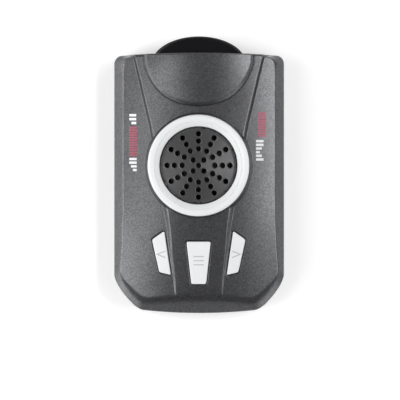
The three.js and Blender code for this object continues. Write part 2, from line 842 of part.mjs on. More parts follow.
const speaker = new THREE.Group();
speaker.position.y = SPEAKER_Y;
detector.add(speaker);
const speakerParts = {
  speaker_ring: [speakerRing(), 'silver'],
  speaker_grille: [speakerGrille(), 'grille'],
  speaker_gasket: [speakerGasket(), 'foam'],
  speaker_frame: [speakerFrame(), 'zinc'],
  speaker_cone: [speakerCone(), 'paper'],
  speaker_magnet: [speakerMagnet(), 'steel'],
};
for (const [name, [geometry, finish]] of Object.entries(speakerParts)) {
  speaker.add(add(name, geometry, finish));
}
add('speaker_lead_red', speakerLead(8.5, -10.4), 'red');
add('speaker_lead_black', speakerLead(11.8, -8), 'black');

for (const [side, shape] of Object.entries(KEYS)) {
  const [x, y] = shape.stem;
  add(`${side}_button`, key(shape), 'silver');
  add(`${side}_tact_switch`, tactSwitch(), 'black', x, y, BUTTON_BOARD_TOP + 0.05);
  add(`${side}_tact_plunger`, tactPlunger(), 'black', x, y, BUTTON_BOARD_TOP + GAP);
}

const boardScrewPlaces = Object.values(BOARD_SCREWS);
add('main_circuit_board', board(MAIN_BOARD_SIZE), 'board', 0, 0, MAIN_BOARD);
add(
  'button_board',
  board(BUTTON_BOARD_SIZE, boardScrewPlaces.map(([x, y]) => [x, y - BUTTON_BOARD_Y])),
  'board',
  0,
  BUTTON_BOARD_Y,
  BUTTON_BOARD,
);
const headerHeight = BUTTON_BOARD - MAIN_BOARD_TOP - 0.2;
add('board_header', chip(14, 2.6, headerHeight), 'black', 0, -24, MAIN_BOARD_TOP + 0.1);
add('display_board', chip(38, BOARD_THICKNESS, 12.4), 'board', 0, -47.7, 4.2);
add('display_module', displayModule(), 'black', 0, -50.3, 6);
add('main_chip', chip(10, 10, 1.4), 'black', -10, -34, MAIN_BOARD_TOP + 0.1);
add('audio_amplifier', chip(5, 4, 1.5), 'black', 14, -32, MAIN_BOARD_TOP + 0.1);
add('voltage_regulator', chip(6.6, 6.2, 2.3), 'black', 16, -2, MAIN_BOARD_TOP + 0.1);
add('power_capacitor', capacitor(), 'steel', -17, -6, MAIN_BOARD_TOP + 0.1);
add('microwave_module', chip(20, 6.4, 8.4), 'zinc', 0, 15.9, MAIN_BOARD_TOP + 0.1);
add('horn_antenna', hornAntenna(), 'zinc', 0, 19.4, 11.5).rotation.x = -Math.PI / 2;
add('laser_board', chip(30, BOARD_THICKNESS, 5.2), 'board', 0, 39.6, 18);
for (const [side, x] of [['left', -8], ['right', 8]]) {
  add(`${side}_laser_diode`, laserDiode(), 'clear', x, 40.4, 20.8).rotation.x = -Math.PI / 2;
}

add('dc_jack_body', socketBody(), 'black');
add('dc_jack_pin', socketPin(), 'brass');
add('power_switch_body', switchBody(), 'black');
add('power_switch_knob', switchKnob(), 'black');

for (const [place, [x, y]] of Object.entries(HOUSING_SCREWS)) {
  const seat = SCREW_SEAT - 2 - 0.05;
  add(`housing_screw_${place}`, screw(SCREW_HEAD, 2, SCREW_SHANK, SCREW_TIP - seat), 'steel', x, y, seat);
}
for (const [place, [x, y]] of Object.entries(BOARD_SCREWS)) {
  const head = 1.2;
  add(`board_screw_${place}`, screw(2, head, SCREW_SHANK, 7), 'steel', x, y, BUTTON_BOARD - head - 0.05);
}
for (const [place, [x, y]] of Object.entries(FEET)) {
  add(`rubber_foot_${place}`, rubberFoot(), 'rubber', x, y, 0);
}
const labelDepth = LABEL_RECESS - 0.1;
const labelSheet = prism(rectangle(...LABEL_SIZE), 0, labelDepth);
add('blank_label', geometryOf(labelSheet), 'label', 0, 0, UNDERSIDE + 0.05);

export default detector;
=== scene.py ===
"""Looks for a dashboard radar detector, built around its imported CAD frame.

Shapes are worked out in millimetres in the frame's own axes: +X is the driver's right, +Y points
at the road and +Z is up. A mesh is scaled to metres when its piece is finished.
"""

import json
import math

import bpy
import numpy as np
from mathutils import Matrix, Vector
from mathutils.geometry import delaunay_2d_cdt


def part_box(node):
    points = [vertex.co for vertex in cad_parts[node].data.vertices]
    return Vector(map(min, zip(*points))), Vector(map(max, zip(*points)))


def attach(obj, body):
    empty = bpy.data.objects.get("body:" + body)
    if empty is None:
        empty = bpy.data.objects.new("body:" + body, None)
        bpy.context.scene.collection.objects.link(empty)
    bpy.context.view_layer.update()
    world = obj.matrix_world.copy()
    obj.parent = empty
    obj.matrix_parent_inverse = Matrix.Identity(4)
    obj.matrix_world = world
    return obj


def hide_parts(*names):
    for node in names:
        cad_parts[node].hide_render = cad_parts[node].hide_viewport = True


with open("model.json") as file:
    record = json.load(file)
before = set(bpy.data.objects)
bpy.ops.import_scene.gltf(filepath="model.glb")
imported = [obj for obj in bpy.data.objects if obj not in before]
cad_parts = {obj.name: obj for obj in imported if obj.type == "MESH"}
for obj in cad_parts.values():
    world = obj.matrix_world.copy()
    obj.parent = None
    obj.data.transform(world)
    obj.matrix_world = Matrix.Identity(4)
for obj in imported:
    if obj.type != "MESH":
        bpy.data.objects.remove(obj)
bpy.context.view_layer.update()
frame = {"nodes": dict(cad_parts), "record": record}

MM = 0.001


def box_mm(node):
    """Lowest and highest corner of a CAD node, in millimetres."""
    low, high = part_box(node)
    return np.array(low) / MM, np.array(high) / MM


def middle_mm(node):
    low, high = box_mm(node)
    return (low + high) / 2


# ---- Sizes taken from the frame ----

HOUSING_LOW, HOUSING_HIGH = box_mm("top_housing")
SIDE = HOUSING_HIGH[0]
FRONT = HOUSING_HIGH[1]
REAR = HOUSING_LOW[1]
RIM = HOUSING_LOW[2]  # lower edge of the top housing
UNDERSIDE, PARTING = box_mm("bottom_housing")[0][2], box_mm("bottom_housing")[1][2]
LENS_FRONT, LENS_TOP = box_mm("laser_lens")[1][1:]
RING_OUTER = box_mm("speaker_ring")[1][0]
RING_TOP = box_mm("speaker_ring")[1][2]
SPEAKER_Y = middle_mm("speaker_ring")[1]
SOCKET = middle_mm("dc_jack_pin")
KNOB_LOW, KNOB_HIGH = box_mm("power_switch_knob")
SWITCH_Y = middle_mm("power_switch_body")[1]
SPEAKER = (0, SPEAKER_Y)
PLACES = ("front_left", "front_right", "rear_left", "rear_right")

# ---- Sizes of the shapes ----

WALL = 1.8
BEVEL_START = 17.5
BEVEL_END = 21.5
DECK = 24.4  # top of the crown on the centre line
BOSS_TOP = 27.6
CROWN = 0.003
FALL_START = -10
REAR_FALL = 0.00126
FADE_START = -15
FADE_END = -52.85
HOOD_RISE = 1.7
HOOD_FADE_POWER = 1.35
LOBE_RISE_BACK = 1.1  # above the hood
LOBE_RISE_FRONT = 2.0
LOBE_CROWN = 0.002
KEY_RISE = 0.5
RUNNING_GAP = 0.4
GAP = 0.15

BOSS_RADIUS = 21.2
BOSS_SLOPE = 4.5
BOSS_BOTTOM = 21
SPEAKER_HOLE = 17.55
SPEAKER_POCKET = 19
SPEAKER_SEAT = 23.6

LENS_HALF_WIDTH = 19.5
LENS_DEPTH = 11.4
LENS_Y = LENS_FRONT - LENS_DEPTH
LENS_BOTTOM = 5.5
LENS_WALL = 2
WINDOW_HALF_WIDTH = 20
WINDOW_BOTTOM = 5.5
WINDOW_TOP = 15.5

# Half width of the raised hood, and width of its slanted wall, at distances behind the front
HOOD_BACK = [0, 15, 23.3, 29.5, 64, 72, 82, 92, 102.5, 110]
HOOD_HALF = [26.9, 23.3, 21.4, 19.9, 13.7, 12.4, 11.4, 10.1, 9.3, 8.8]
HOOD_WALL_BACK = [0, 25, 46, 64, 82, 93, 103]
HOOD_WALL = [0.9, 1.2, 1.3, 1.5, 0.9, 0.6, 0.45]


# ---- Plane curves ----

def bezier(start, control, end, steps):
    """Points of a quadratic curve, without its first one."""
    t = np.linspace(0, 1, steps + 1)[1:, None]
    start, control, end = (np.array(p, float) for p in (start, control, end))
    return (1 - t) ** 2 * start + 2 * t * (1 - t) * control + t * t * end


def arc(centre, radius, first, last, steps):
    """Points of a circular arc between two angles in degrees, with both ends."""
    angle = np.radians(np.linspace(first, last, steps + 1))
    return np.array(centre, float) + radius * np.column_stack([np.cos(angle), np.sin(angle)])


def circle(centre, radius, steps):
    return arc(centre, radius, 0, 360, steps)[:-1]


def mirrored(half):
    """Closes a half outline on the right, from front to rear, with its mirror image."""
    left = half[half[:, 0] > 1e-6][::-1] * [-1, 1]
    return np.vstack([half, left])


def rounded(corners, radius, steps=5):
    """Replaces each corner of a closed polygon with a short curve.

    There is one radius for all of them, or one for each corner.
    """
    corners = np.array(corners, float)
    radii = np.broadcast_to(radius, len(corners))
    points = []
    for i, corner in enumerate(corners):
        if radii[i] <= 0:
            points.append(corner[None])
            continue
        ends = []
        for other in (corners[i - 1], corners[(i + 1) % len(corners)]):
            reach = min(radii[i] / np.linalg.norm(other - corner), 0.5)
            ends.append(corner + (other - corner) * reach)
        points += [ends[0][None], bezier(ends[0], corner, ends[1], steps)]
    return np.vstack(points)


def resampled(loop, spacing):
    """A closed loop with about even steps, which keeps its first point."""
    closed = np.vstack([loop, loop[:1]])
    length = np.concatenate([[0], np.cumsum(np.linalg.norm(np.diff(closed, axis=0), axis=1))])
    at = np.linspace(0, length[-1], max(8, round(length[-1] / spacing)) + 1)[:-1]
    return np.column_stack([np.interp(at, length, closed[:, k]) for k in (0, 1)])


def outward(loop):
    """Unit normals of a closed clockwise loop, pointing out of it."""
    along = np.roll(loop, -1, 0) - np.roll(loop, 1, 0)
    along /= np.linalg.norm(along, axis=1, keepdims=True)
    return np.column_stack([-along[:, 1], along[:, 0]])


def clockwise(loop):
    x, y = loop.T
    area = (x * np.roll(y, -1) - np.roll(x, -1) * y).sum()
    return loop[::-1] if area > 0 else loop


def inset(loop, distance):
    """A clockwise loop moved inwards. Its steps have to be short against its curves."""
    return loop - outward(loop) * distance


def insets(loop, distances):
    """The points of a clockwise loop moved inwards by each of the distances."""
    return np.vstack([inset(loop, distance) for distance in distances])


def chains(loops):
    """Closed loops as lines that end where they start."""
    return [np.vstack([loop, loop[:1]]) for loop in loops]


def inside(points, loop):
    """Which points lie inside a closed loop."""
    result = np.zeros(len(points), bool)
    x, y = points.T
    for (x0, y0), (x1, y1) in zip(loop, np.roll(loop, -1, 0)):
        if y0 == y1:
            continue
        level = (y0 > y) != (y1 > y)
        result ^= level & (x < x0 + (y - y0) * (x1 - x0) / (y1 - y0))
    return result


def signed_distance(points, loop):
    """Distance of each point from a closed loop, positive inside."""
    squared = np.full(len(points), np.inf)
    for start, end in zip(loop, np.roll(loop, -1, 0)):
        step = end - start
        offset = points - start
        along = np.clip(offset @ step / (step @ step), 0, 1)
        gap = offset - along[:, None] * step
        np.minimum(squared, np.einsum("ij,ij->i", gap, gap), out=squared)
    distance = np.sqrt(squared)
    return np.where(inside(points, loop), distance, -distance)


def grid(low, high, spacing):
    """Points of a triangular grid over a rectangle."""
    rows = np.arange(low[1], high[1], spacing * 0.866)
    columns = np.arange(low[0], high[0], spacing)
    return np.vstack([
        np.column_stack([columns + (i % 2) * spacing / 2, np.full(len(columns), y)])
        for i, y in enumerate(rows)
    ])


# ---- Blended heights ----

def smooth_min(a, b, blend):
    share = np.clip(0.5 + 0.5 * (b - a) / blend, 0, 1)
    return b + (a - b) * share - blend * share * (1 - share)


def smooth_max(a, b, blend):
    return -smooth_min(-a, -b, blend)


def smooth_step(value, low, high):
    t = np.clip((value - low) / (high - low), 0, 1)
    return t * t * (3 - 2 * t)


def edge_drop(distance, radius, depth=None):
    """How far a rounded edge lies below its face, at a distance from the edge."""
    reach = np.clip(1 - distance / radius, 0, 1)
    return (depth or radius) * (1 - np.sqrt(1 - reach * reach))


def edge_rows(radius, steps=6):
    """Distances from an edge that suit edge_drop's curve."""
    angle = np.linspace(0, math.pi / 2, steps + 1)[1:]
    return radius * (1 - np.cos(angle))


def hood_fade(y):
    """The hood sinks into the deck towards the rear."""
    return np.clip((y - FADE_END) / (FADE_START - FADE_END), 0, 1) ** HOOD_FADE_POWER


def crown(x, y, rise):
    fade = hood_fade(y)
    fall = REAR_FALL * np.maximum(0, FALL_START - y) ** 2
    return DECK + rise * fade - CROWN * x * x - fall


# ---- Turns from a plan onto an upright face ----

def to_left(v):
    return np.column_stack([-v[:, 2], -v[:, 0], v[:, 1]])


def to_front(v):
    return np.column_stack([-v[:, 0], v[:, 2], v[:, 1]])


def to_rear(v):
    return np.column_stack([v[:, 0], -v[:, 2], v[:, 1]])


def to_below(v):
    return v * [-1, 1, -1]


# ---- Meshes ----

def make(name, vertices, faces, materials, face_material=None, sharp=32):
    """An object in millimetres at the scene's origin."""
    mesh = bpy.data.meshes.new(name)
    mesh.from_pydata(np.asarray(vertices, float).tolist(), [], [list(map(int, f)) for f in faces])
    for material in materials:
        mesh.materials.append(material)
    if face_material is not None:
        mesh.polygons.foreach_set("material_index", np.asarray(face_material, np.int32))
    mesh.shade_smooth()
    mesh.set_sharp_from_angle(angle=math.radians(sharp))
    mesh.update()
    made = bpy.data.objects.new(name, mesh)
    bpy.context.scene.collection.objects.link(made)
    return made


def combine(target, operation, *others, sharp=32):
    """Cuts other closed objects out of a closed object, or joins them to it."""
    for other in others:
        modifier = target.modifiers.new("combine", "BOOLEAN")
        modifier.solver = "MANIFOLD"
        modifier.operation = operation
        modifier.object = other
    graph = bpy.context.evaluated_depsgraph_get()
    mesh = bpy.data.meshes.new_from_object(target.evaluated_get(graph))
    target.modifiers.clear()
    target.data = mesh
    mesh.shade_smooth()
    mesh.set_sharp_from_angle(angle=math.radians(sharp))
    for other in others:
        bpy.data.objects.remove(other)
    return target


def piece(made, slot, *nodes, body="case"):
    """Scales a finished object to metres and puts it on its body in place of CAD nodes."""
    made.data.transform(Matrix.Scale(MM, 4))
    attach(made, body)
    if nodes:
        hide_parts(*nodes)
    return made


def plan_mesh(loops, free, lines=()):
    """Triangles inside the first loop and outside the others, and where each loop's points went."""
    points, edges, places = [], [], []
    for chain, closed in [(loop, True) for loop in loops] + [(line, False) for line in lines]:
        first = len(points)
        points += [Vector(p) for p in chain]
        edges += [(first + i, first + i + 1) for i in range(len(chain) - 1)]
        if closed:
            edges.append((first + len(chain) - 1, first))
            places.append(range(first, first + len(chain)))
    points += [Vector(p) for p in free]
    found, _, triangles, sources, _, _ = delaunay_2d_cdt(points, edges, [], 0, 1e-6)
    place = {source: k for k, group in enumerate(sources) for source in group}
    found, triangles = np.array([tuple(p) for p in found]), np.array(triangles)
    middle = found[triangles].mean(1)
    keep = inside(middle, loops[0])
    for hole in loops[1:]:
        keep &= ~inside(middle, hole)
    return found, triangles[keep], [[place[i] for i in indices] for indices in places]


def thinned(points, loops, clearance):
    """Free points that lie inside the first loop and outside the others, clear of their edges."""
    points = points[inside(points, loops[0])]
    for loop in loops[1:]:
        points = points[~inside(points, loop)]
    cell = clearance / 2
    taken = set()
    for loop in loops:
        for x, y in resampled(loop, cell):
            i, j = math.floor(x / cell), math.floor(y / cell)
            taken.update((i + a, j + b) for a in (-1, 0, 1) for b in (-1, 0, 1))
    kept = [p for p in points if (math.floor(p[0] / cell), math.floor(p[1] / cell)) not in taken]
    return np.array(kept) if kept else np.empty((0, 2))


def spaced(points, cell):
    """At most one point in each cell of a fine grid."""
    _, first = np.unique(np.floor(points / cell).astype(int), axis=0, return_index=True)
    return points[np.sort(first)]


def shade_exactly(mesh, height, count):
    """Shades a mesh's first triangles by the true slope of their height function."""
    step = 0.01
    corners = np.zeros(len(mesh.loops), np.int32)
    mesh.loops.foreach_get("vertex_index", corners)
    normals = np.zeros(len(mesh.loops) * 3, np.float32)
    mesh.corner_normals.foreach_get("vector", normals)
    normals = normals.reshape(-1, 3)
    spots = np.zeros(len(mesh.vertices) * 3, np.float32)
    mesh.vertices.foreach_get("co", spots)
    used, back = np.unique(corners[: count * 3], return_inverse=True)
    points = spots.reshape(-1, 3)[used, :2].astype(float)
    level = height(points)
    slopes = [(height(points + move) - level) / step for move in ((step, 0), (0, step))]
    true = np.column_stack([-slopes[0], -slopes[1], np.ones(len(points))])
    true /= np.linalg.norm(true, axis=1, keepdims=True)
    normals[: count * 3] = true[back]
    mesh.normals_split_custom_set(normals.tolist())


def flat(level):
    """A height function of one level."""
    def height(points):
        return np.full(len(points), float(level))

    return height


def painted(*groups):
    """A face rule: material 1 inside the first group's loops, 2 inside the second's."""
    def rule(middles):
        kinds = np.zeros(len(middles), int)
        for kind, loops in enumerate(groups, 1):
            for loop in loops:
                kinds[inside(middles, loop)] = kind
        return kinds

    return rule


def facing_up(faces, points):
    """Turns over the triangles that face down."""
    corners = points[faces]
    down = np.cross(corners[:, 1] - corners[:, 0], corners[:, 2] - corners[:, 0])[:, 2] < 0
    return np.where(down[:, None], faces[:, ::-1], faces)


def shell(name, loops, high, low, materials, free, low_free=(), lines=(), low_inset=0.0,
          face_rule=None, place=None, sharp=32, exact=False, collar=0.0):
    """A closed solid between two height functions over the area inside loops[0].

    The other loops are holes. free and low_free hold how far the faces' inner points stay from
    the loops, and then groups of points. The lower face may be set in at its edges, which leaves
    a small chamfer there. face_rule gives a material index for each upper face from its middle. A
    collar is a row of points that far below the upper edge, which keeps the wall's shading flat.
    place turns the points onto another face. exact shades the upper face by its height function.
    """
    loops = [clockwise(loop) for loop in loops]
    free, low_free = (
        thinned(np.vstack(points[1:]), loops, points[0]) if points else ()
        for points in (free, low_free)
    )
    low_loops = [inset(loop, low_inset if k == 0 else -low_inset) for k, loop in enumerate(loops)]
    top, top_faces, top_edges = plan_mesh(loops, free, lines)
    base, base_faces, base_edges = plan_mesh(low_loops, low_free)
    upper_points = np.column_stack([top, high(top)])
    lower_points = np.column_stack([base, low(base)])
    top_faces = facing_up(top_faces, upper_points)
    base_faces = facing_up(base_faces, lower_points)[:, ::-1] + len(top)
    faces = [*top_faces.tolist(), *base_faces.tolist()]
    vertices = [upper_points, lower_points]
    count = len(top) + len(base)
    for k, (loop, upper, lower) in enumerate(zip(loops, top_edges, base_edges)):
        size = len(loop)
        between = [upper_points[upper, 2] - collar] if collar else []
        between += [lower_points[lower, 2] + low_inset] if low_inset else []
        rows = [upper]
        for heights in between:
            vertices.append(np.column_stack([loop, heights]))
            rows.append(list(range(count, count + size)))
            count += size
        rows.append([i + len(top) for i in lower])
        for above, below in zip(rows, rows[1:]):
            for i in range(size):
                j = (i + 1) % size
                face = [above[i], above[j], below[j], below[i]]
                faces.append(face if k == 0 else face[::-1])
    vertices = np.vstack(vertices)
    if place:
        vertices = place(vertices)
    used = np.unique(np.concatenate([np.array(f) for f in faces]))
    renumber = np.full(len(vertices), -1)
    renumber[used] = np.arange(len(used))
    faces = [[renumber[i] for i in f] for f in faces]
    kinds = np.zeros(len(faces), int)
    if face_rule:
        kinds[: len(top_faces)] = face_rule(top[top_faces].mean(1))
    made = make(name, vertices[used], faces, materials, kinds, sharp)
    if exact:
        shade_exactly(made.data, high, len(top_faces))
    return made


def turned(name, profile, materials, segments=96, centre=(0, 0, 0), axis="Z", sharp=32):
    """Spins a closed profile of (radius, height) points about an axis through centre."""
    profile = np.array(profile, float)
    angles = np.linspace(0, 2 * math.pi, segments, endpoint=False)
    on_axis = profile[:, 0] < 1e-6
    vertices, index = [], np.zeros((len(profile), segments), int)
    for k, (radius, height) in enumerate(profile):
        if on_axis[k]:
            index[k] = len(vertices)
            vertices.append((0, 0, height))
        else:
            index[k] = np.arange(len(vertices), len(vertices) + segments)
            vertices += [(radius * math.cos(a), radius * math.sin(a), height) for a in angles]
    x, z = profile.T
    anticlockwise = (x * np.roll(z, -1) - np.roll(x, -1) * z).sum() > 0
    faces = []
    for k in range(len(profile)):
        m = (k + 1) % len(profile)
        if on_axis[k] and on_axis[m]:
            continue
        for i in range(segments):
            j = (i + 1) % segments
            face = list(dict.fromkeys([index[k][i], index[k][j], index[m][j], index[m][i]]))
            faces.append(face if anticlockwise else face[::-1])
    vertices = np.array(vertices, float)
    if axis == "X":
        vertices = vertices[:, [2, 0, 1]]
    return make(name, vertices + np.array(centre), faces, materials, sharp=sharp)


def slab(name, loop, low, high, materials, edge=0.2, place=None):
    """A flat plate with softened upper and lower edges."""
    loop = clockwise(np.array(loop, float))
    rows = [(edge, low), (edge * 0.3, low + edge * 0.3), (0, low + edge)]
    rows += [(0, high - edge), (edge * 0.3, high - edge * 0.3), (edge, high)]
    vertices = np.vstack([
        np.column_stack([inset(loop, depth), np.full(len(loop), level)]) for depth, level in rows
    ])
    size = len(loop)
    faces = [list(range(size)), list(range(len(vertices) - 1, len(vertices) - 1 - size, -1))]
    for row in range(len(rows) - 1):
        for i in range(size):
            j = (i + 1) % size
            a, b = row * size + i, row * size + j
            faces.append([a, a + size, b + size, b])
    if place:
        vertices = place(vertices)
    return make(name, vertices, faces, materials)


def rectangle(centre, half, radius=0.0, steps=4):
    (x, y), (a, b) = centre, half
    corners = [(x - a, y + b), (x + a, y + b), (x + a, y - b), (x - a, y - b)]
    return rounded(corners, radius, steps)


def stroke(points, width, shorten=0.0):
    """The outline of a drawn line of even width, its ends cut back."""
    points = np.array(points, float)
    for end, other in ((0, 1), (-1, -2)):
        away = points[other] - points[end]
        points[end] += away / np.linalg.norm(away) * shorten
    along = np.diff(points, axis=0)
    along /= np.linalg.norm(along, axis=1, keepdims=True)
    sides = []
    for i in range(len(points)):
        before, after = along[max(i - 1, 0)], along[min(i, len(along) - 1)]
        mean = before + after
        mean /= np.linalg.norm(mean)
        sides.append(np.array([-mean[1], mean[0]]) * width / 2 / (mean @ after))
    sides = np.array(sides)
    return clockwise(np.vstack([points + sides, (points - sides)[::-1]]))


# ---- Materials ----

def mixed(tree, factor, first, second):
    node = tree.nodes.new("ShaderNodeMix")
    node.data_type = "RGBA"
    tree.links.new(factor, node.inputs["Factor"])
    for socket, value in (("A", first), ("B", second)):
        target = next(s for s in node.inputs if s.name == socket and s.type == "RGBA")
        if isinstance(value, bpy.types.NodeSocket):
            tree.links.new(value, target)
        else:
            target.default_value = (*value, 1)
    return next(s for s in node.outputs if s.type == "RGBA")


def ramp(tree, source, low, high, bottom=0.0, top=1.0):
    """Maps a value from low..high onto bottom..top, held at both ends."""
    node = tree.nodes.new("ShaderNodeMapRange")
    tree.links.new(source, node.inputs["Value"])
    for name, value in (("From Min", low), ("From Max", high), ("To Min", bottom), ("To Max", top)):
        node.inputs[name].default_value = value
    return node.outputs["Result"]


def in_steps(tree, size_mm):
    """Object coordinates counted in steps of size_mm."""
    place = tree.nodes.new("ShaderNodeTexCoord")
    scale = tree.nodes.new("ShaderNodeMapping")
    scale.inputs["Scale"].default_value = [1 / (size_mm * MM)] * 3
    tree.links.new(place.outputs["Object"], scale.inputs["Vector"])
    return scale.outputs["Vector"]


def noise(tree, size_mm, roughness):
    """Noise whose largest lumps are about size_mm across."""
    node = tree.nodes.new("ShaderNodeTexNoise")
    for name, value in (("Scale", 1), ("Detail", 4), ("Roughness", roughness)):
        node.inputs[name].default_value = value
    tree.links.new(in_steps(tree, size_mm), node.inputs["Vector"])
    return node.outputs["Fac"]


def cells(tree, size_mm):
    """A random colour for each flat cell about size_mm across."""
    node = tree.nodes.new("ShaderNodeTexVoronoi")
    node.inputs["Scale"].default_value = 1
    tree.links.new(in_steps(tree, size_mm), node.inputs["Vector"])
    return node.outputs["Color"]


def half_of(tree, value, plus=None):
    """Half of a value, and another value added to it."""
    node = tree.nodes.new("ShaderNodeMath")
    node.operation = "MULTIPLY" if plus is None else "MULTIPLY_ADD"
    tree.links.new(value, node.inputs[0])
    node.inputs[1].default_value = 0.5
    if plus is not None:
        tree.links.new(plus, node.inputs[2])
    return node.outputs[0]


def bump(tree, height, strength, distance_mm, normal=None):
    node = tree.nodes.new("ShaderNodeBump")
    node.inputs["Strength"].default_value = strength
    node.inputs["Distance"].default_value = distance_mm * MM
    tree.links.new(height, node.inputs["Height"])
    if normal is not None:
        tree.links.new(normal, node.inputs["Normal"])
    return node.outputs["Normal"]


SURFACES = {}  # every material by its name, which is a slot's name where it belongs to one
FLAKE_MM = 0.36
FLAKE_GLINT = 0.45  # share of the brightest flake's own colour
FLAKE_COLOUR = (0.21, 0.212, 0.22)


def surface(name, dark, light, rough, grain_mm, bump_mm, patch_mm=18, **sockets):
    """A material with blotchy colour, uneven roughness and a fine bumpy grain."""
    material = SURFACES[name] = bpy.data.materials.new(name)
    material.use_nodes = True
    tree = material.node_tree
    shader = tree.nodes["Principled BSDF"]
    patches = noise(tree, patch_mm, 0.5)
    grain = noise(tree, grain_mm, 0.6)
    mean = half_of(tree, grain, half_of(tree, patches))
    colour = mixed(tree, ramp(tree, mean, 0.35, 0.65), dark, light)
    tree.links.new(colour, shader.inputs["Base Color"])
    tree.links.new(ramp(tree, patches, 0.3, 0.7, *rough), shader.inputs["Roughness"])
    tree.links.new(bump(tree, grain, 1.0, bump_mm), shader.inputs["Normal"])
    for socket, value in sockets.items():
        shader.inputs[socket.replace("_", " ")].default_value = value
    return material


def metallic_paint():
    """Dark grey paint with fine flakes that each catch the light a little differently."""
    material = surface(
        "housing_paint", (0.072, 0.073, 0.076), (0.088, 0.089, 0.093), (0.28, 0.30), 0.25, 0.0006,
        Metallic=0.82,
    )
    tree = material.node_tree
    colour, normal = (tree.nodes["Principled BSDF"].inputs[n] for n in ("Base Color", "Normal"))
    flake = tree.nodes.new("ShaderNodeSeparateColor")
    tree.links.new(cells(tree, FLAKE_MM), flake.inputs[0])
    glint = ramp(tree, flake.outputs[0], 0.1, 1.0, 0.0, FLAKE_GLINT)
    plain, grain = colour.links[0].from_socket, normal.links[0].from_socket
    tree.links.new(mixed(tree, glint, plain, FLAKE_COLOUR), colour)
    tree.links.new(bump(tree, flake.outputs[1], 0.5, 0.002, grain), normal)
    return material


PAINT = metallic_paint()
LENS_BLACK = surface(
    "laser_lens_black", (0.004, 0.004, 0.005), (0.006, 0.006, 0.007), (0.08, 0.13), 3, 0.0006,
)
WINDOW_SMOKE = surface(
    "window_smoke", (0.05, 0.035, 0.04), (0.06, 0.045, 0.05), (0.04, 0.08), 4, 0.0005,
    Transmission_Weight=0.85, IOR=1.45,
)
SILVER = surface(
    "silver_trim", (0.75, 0.76, 0.77), (0.81, 0.82, 0.83), (0.30, 0.38), 0.3, 0.0015,
)
KEY_SILVER = surface(
    "key_silver", (0.74, 0.745, 0.755), (0.80, 0.805, 0.815), (0.34, 0.42), 0.25, 0.002,
)
# The key icons' strokes, over their sunk floors and sloping sides, are a darker grey than the key
KEY_ICON_GREY = surface(
    "key_icon", (0.46, 0.465, 0.47), (0.54, 0.545, 0.55), (0.45, 0.55), 0.2, 0.002,
)
GRILLE = surface(
    "grille_dark", (0.105, 0.105, 0.108), (0.128, 0.128, 0.131), (0.28, 0.34), 0.2, 0.002,
    Metallic=0.8,
)
BLACK = surface(
    "black_plastic", (0.014, 0.014, 0.015), (0.022, 0.022, 0.024), (0.45, 0.6), 0.3, 0.008,
)
RUBBER = surface(
    "foot_rubber", (0.012, 0.012, 0.012), (0.024, 0.024, 0.024), (0.75, 0.9), 0.35, 0.02,
)
STEEL = surface(
    "screw_steel", (0.50, 0.51, 0.52), (0.66, 0.67, 0.68), (0.28, 0.42), 0.2, 0.004, patch_mm=2,
    Metallic=1,
)
BRASS = surface(
    "pin_brass", (0.62, 0.42, 0.16), (0.78, 0.58, 0.26), (0.2, 0.32), 0.3, 0.003, patch_mm=2,
    Metallic=1,
)
LABEL = surface(
    "label_silver", (0.56, 0.57, 0.58), (0.64, 0.65, 0.66), (0.35, 0.45), 0.4, 0.004, Metallic=0.4,
)
LABEL_INK = surface("label_ink", (0.05, 0.05, 0.055), (0.08, 0.08, 0.085), (0.4, 0.5), 0.3, 0.002)
PRINT_WHITE = surface(
    "printed_white", (0.86, 0.86, 0.87), (0.95, 0.95, 0.96), (0.4, 0.5), 0.2, 0.002,
)
PRINT_RED = surface(
    "printed_red", (0.34, 0.06, 0.10), (0.42, 0.09, 0.14), (0.4, 0.5), 0.2, 0.002,
)
SEGMENT = surface(
    "display_segment", (0.34, 0.05, 0.04), (0.42, 0.08, 0.06), (0.35, 0.45), 0.4, 0.002,
)

# Only CAD pieces have these
surface("seal_foam", (0.014, 0.014, 0.014), (0.035, 0.035, 0.035), (0.9, 1.0), 0.5, 0.08)
surface("cone_paper", (0.03, 0.027, 0.024), (0.05, 0.046, 0.04), (0.85, 0.95), 0.6, 0.04)
surface("lead_red", (0.38, 0.012, 0.01), (0.52, 0.03, 0.02), (0.35, 0.5), 0.6, 0.01)
surface("board_green", (0.012, 0.085, 0.035), (0.03, 0.16, 0.07), (0.3, 0.45), 1.2, 0.02, 5)
surface("cast_zinc", (0.38, 0.385, 0.40), (0.52, 0.53, 0.55), (0.4, 0.55), 0.6, 0.02, 6, Metallic=1)
surface(
    "diode_tinted", (0.03, 0.016, 0.045), (0.05, 0.03, 0.07), (0.06, 0.12), 1, 0.002,
    Coat_Weight=0.5,
)


# ---- Housing outlines ----

def housing_outline(side, front, bow, corner, shoulder, chamfer, rear_corner, rear):
    """One outline of the housing, with the same steps whatever its size."""
    top_of_side = front - bow - corner
    half = np.vstack([
        [[0, front]],
        bezier((0, front), (side / 2, front), (side - corner, front - bow), 66),
        arc((side - corner, top_of_side), corner, 90, 0, 12)[1:],
        np.linspace((side, top_of_side), (side, shoulder), 140)[1:],
        bezier((side, shoulder), chamfer[:2], chamfer[2:], 30),
        bezier(chamfer[2:], rear_corner[:2], rear_corner[2:], 10),
        bezier(rear_corner[2:], (rear_corner[2] / 2, rear), (0, rear), 46),
    ])
    return mirrored(half)


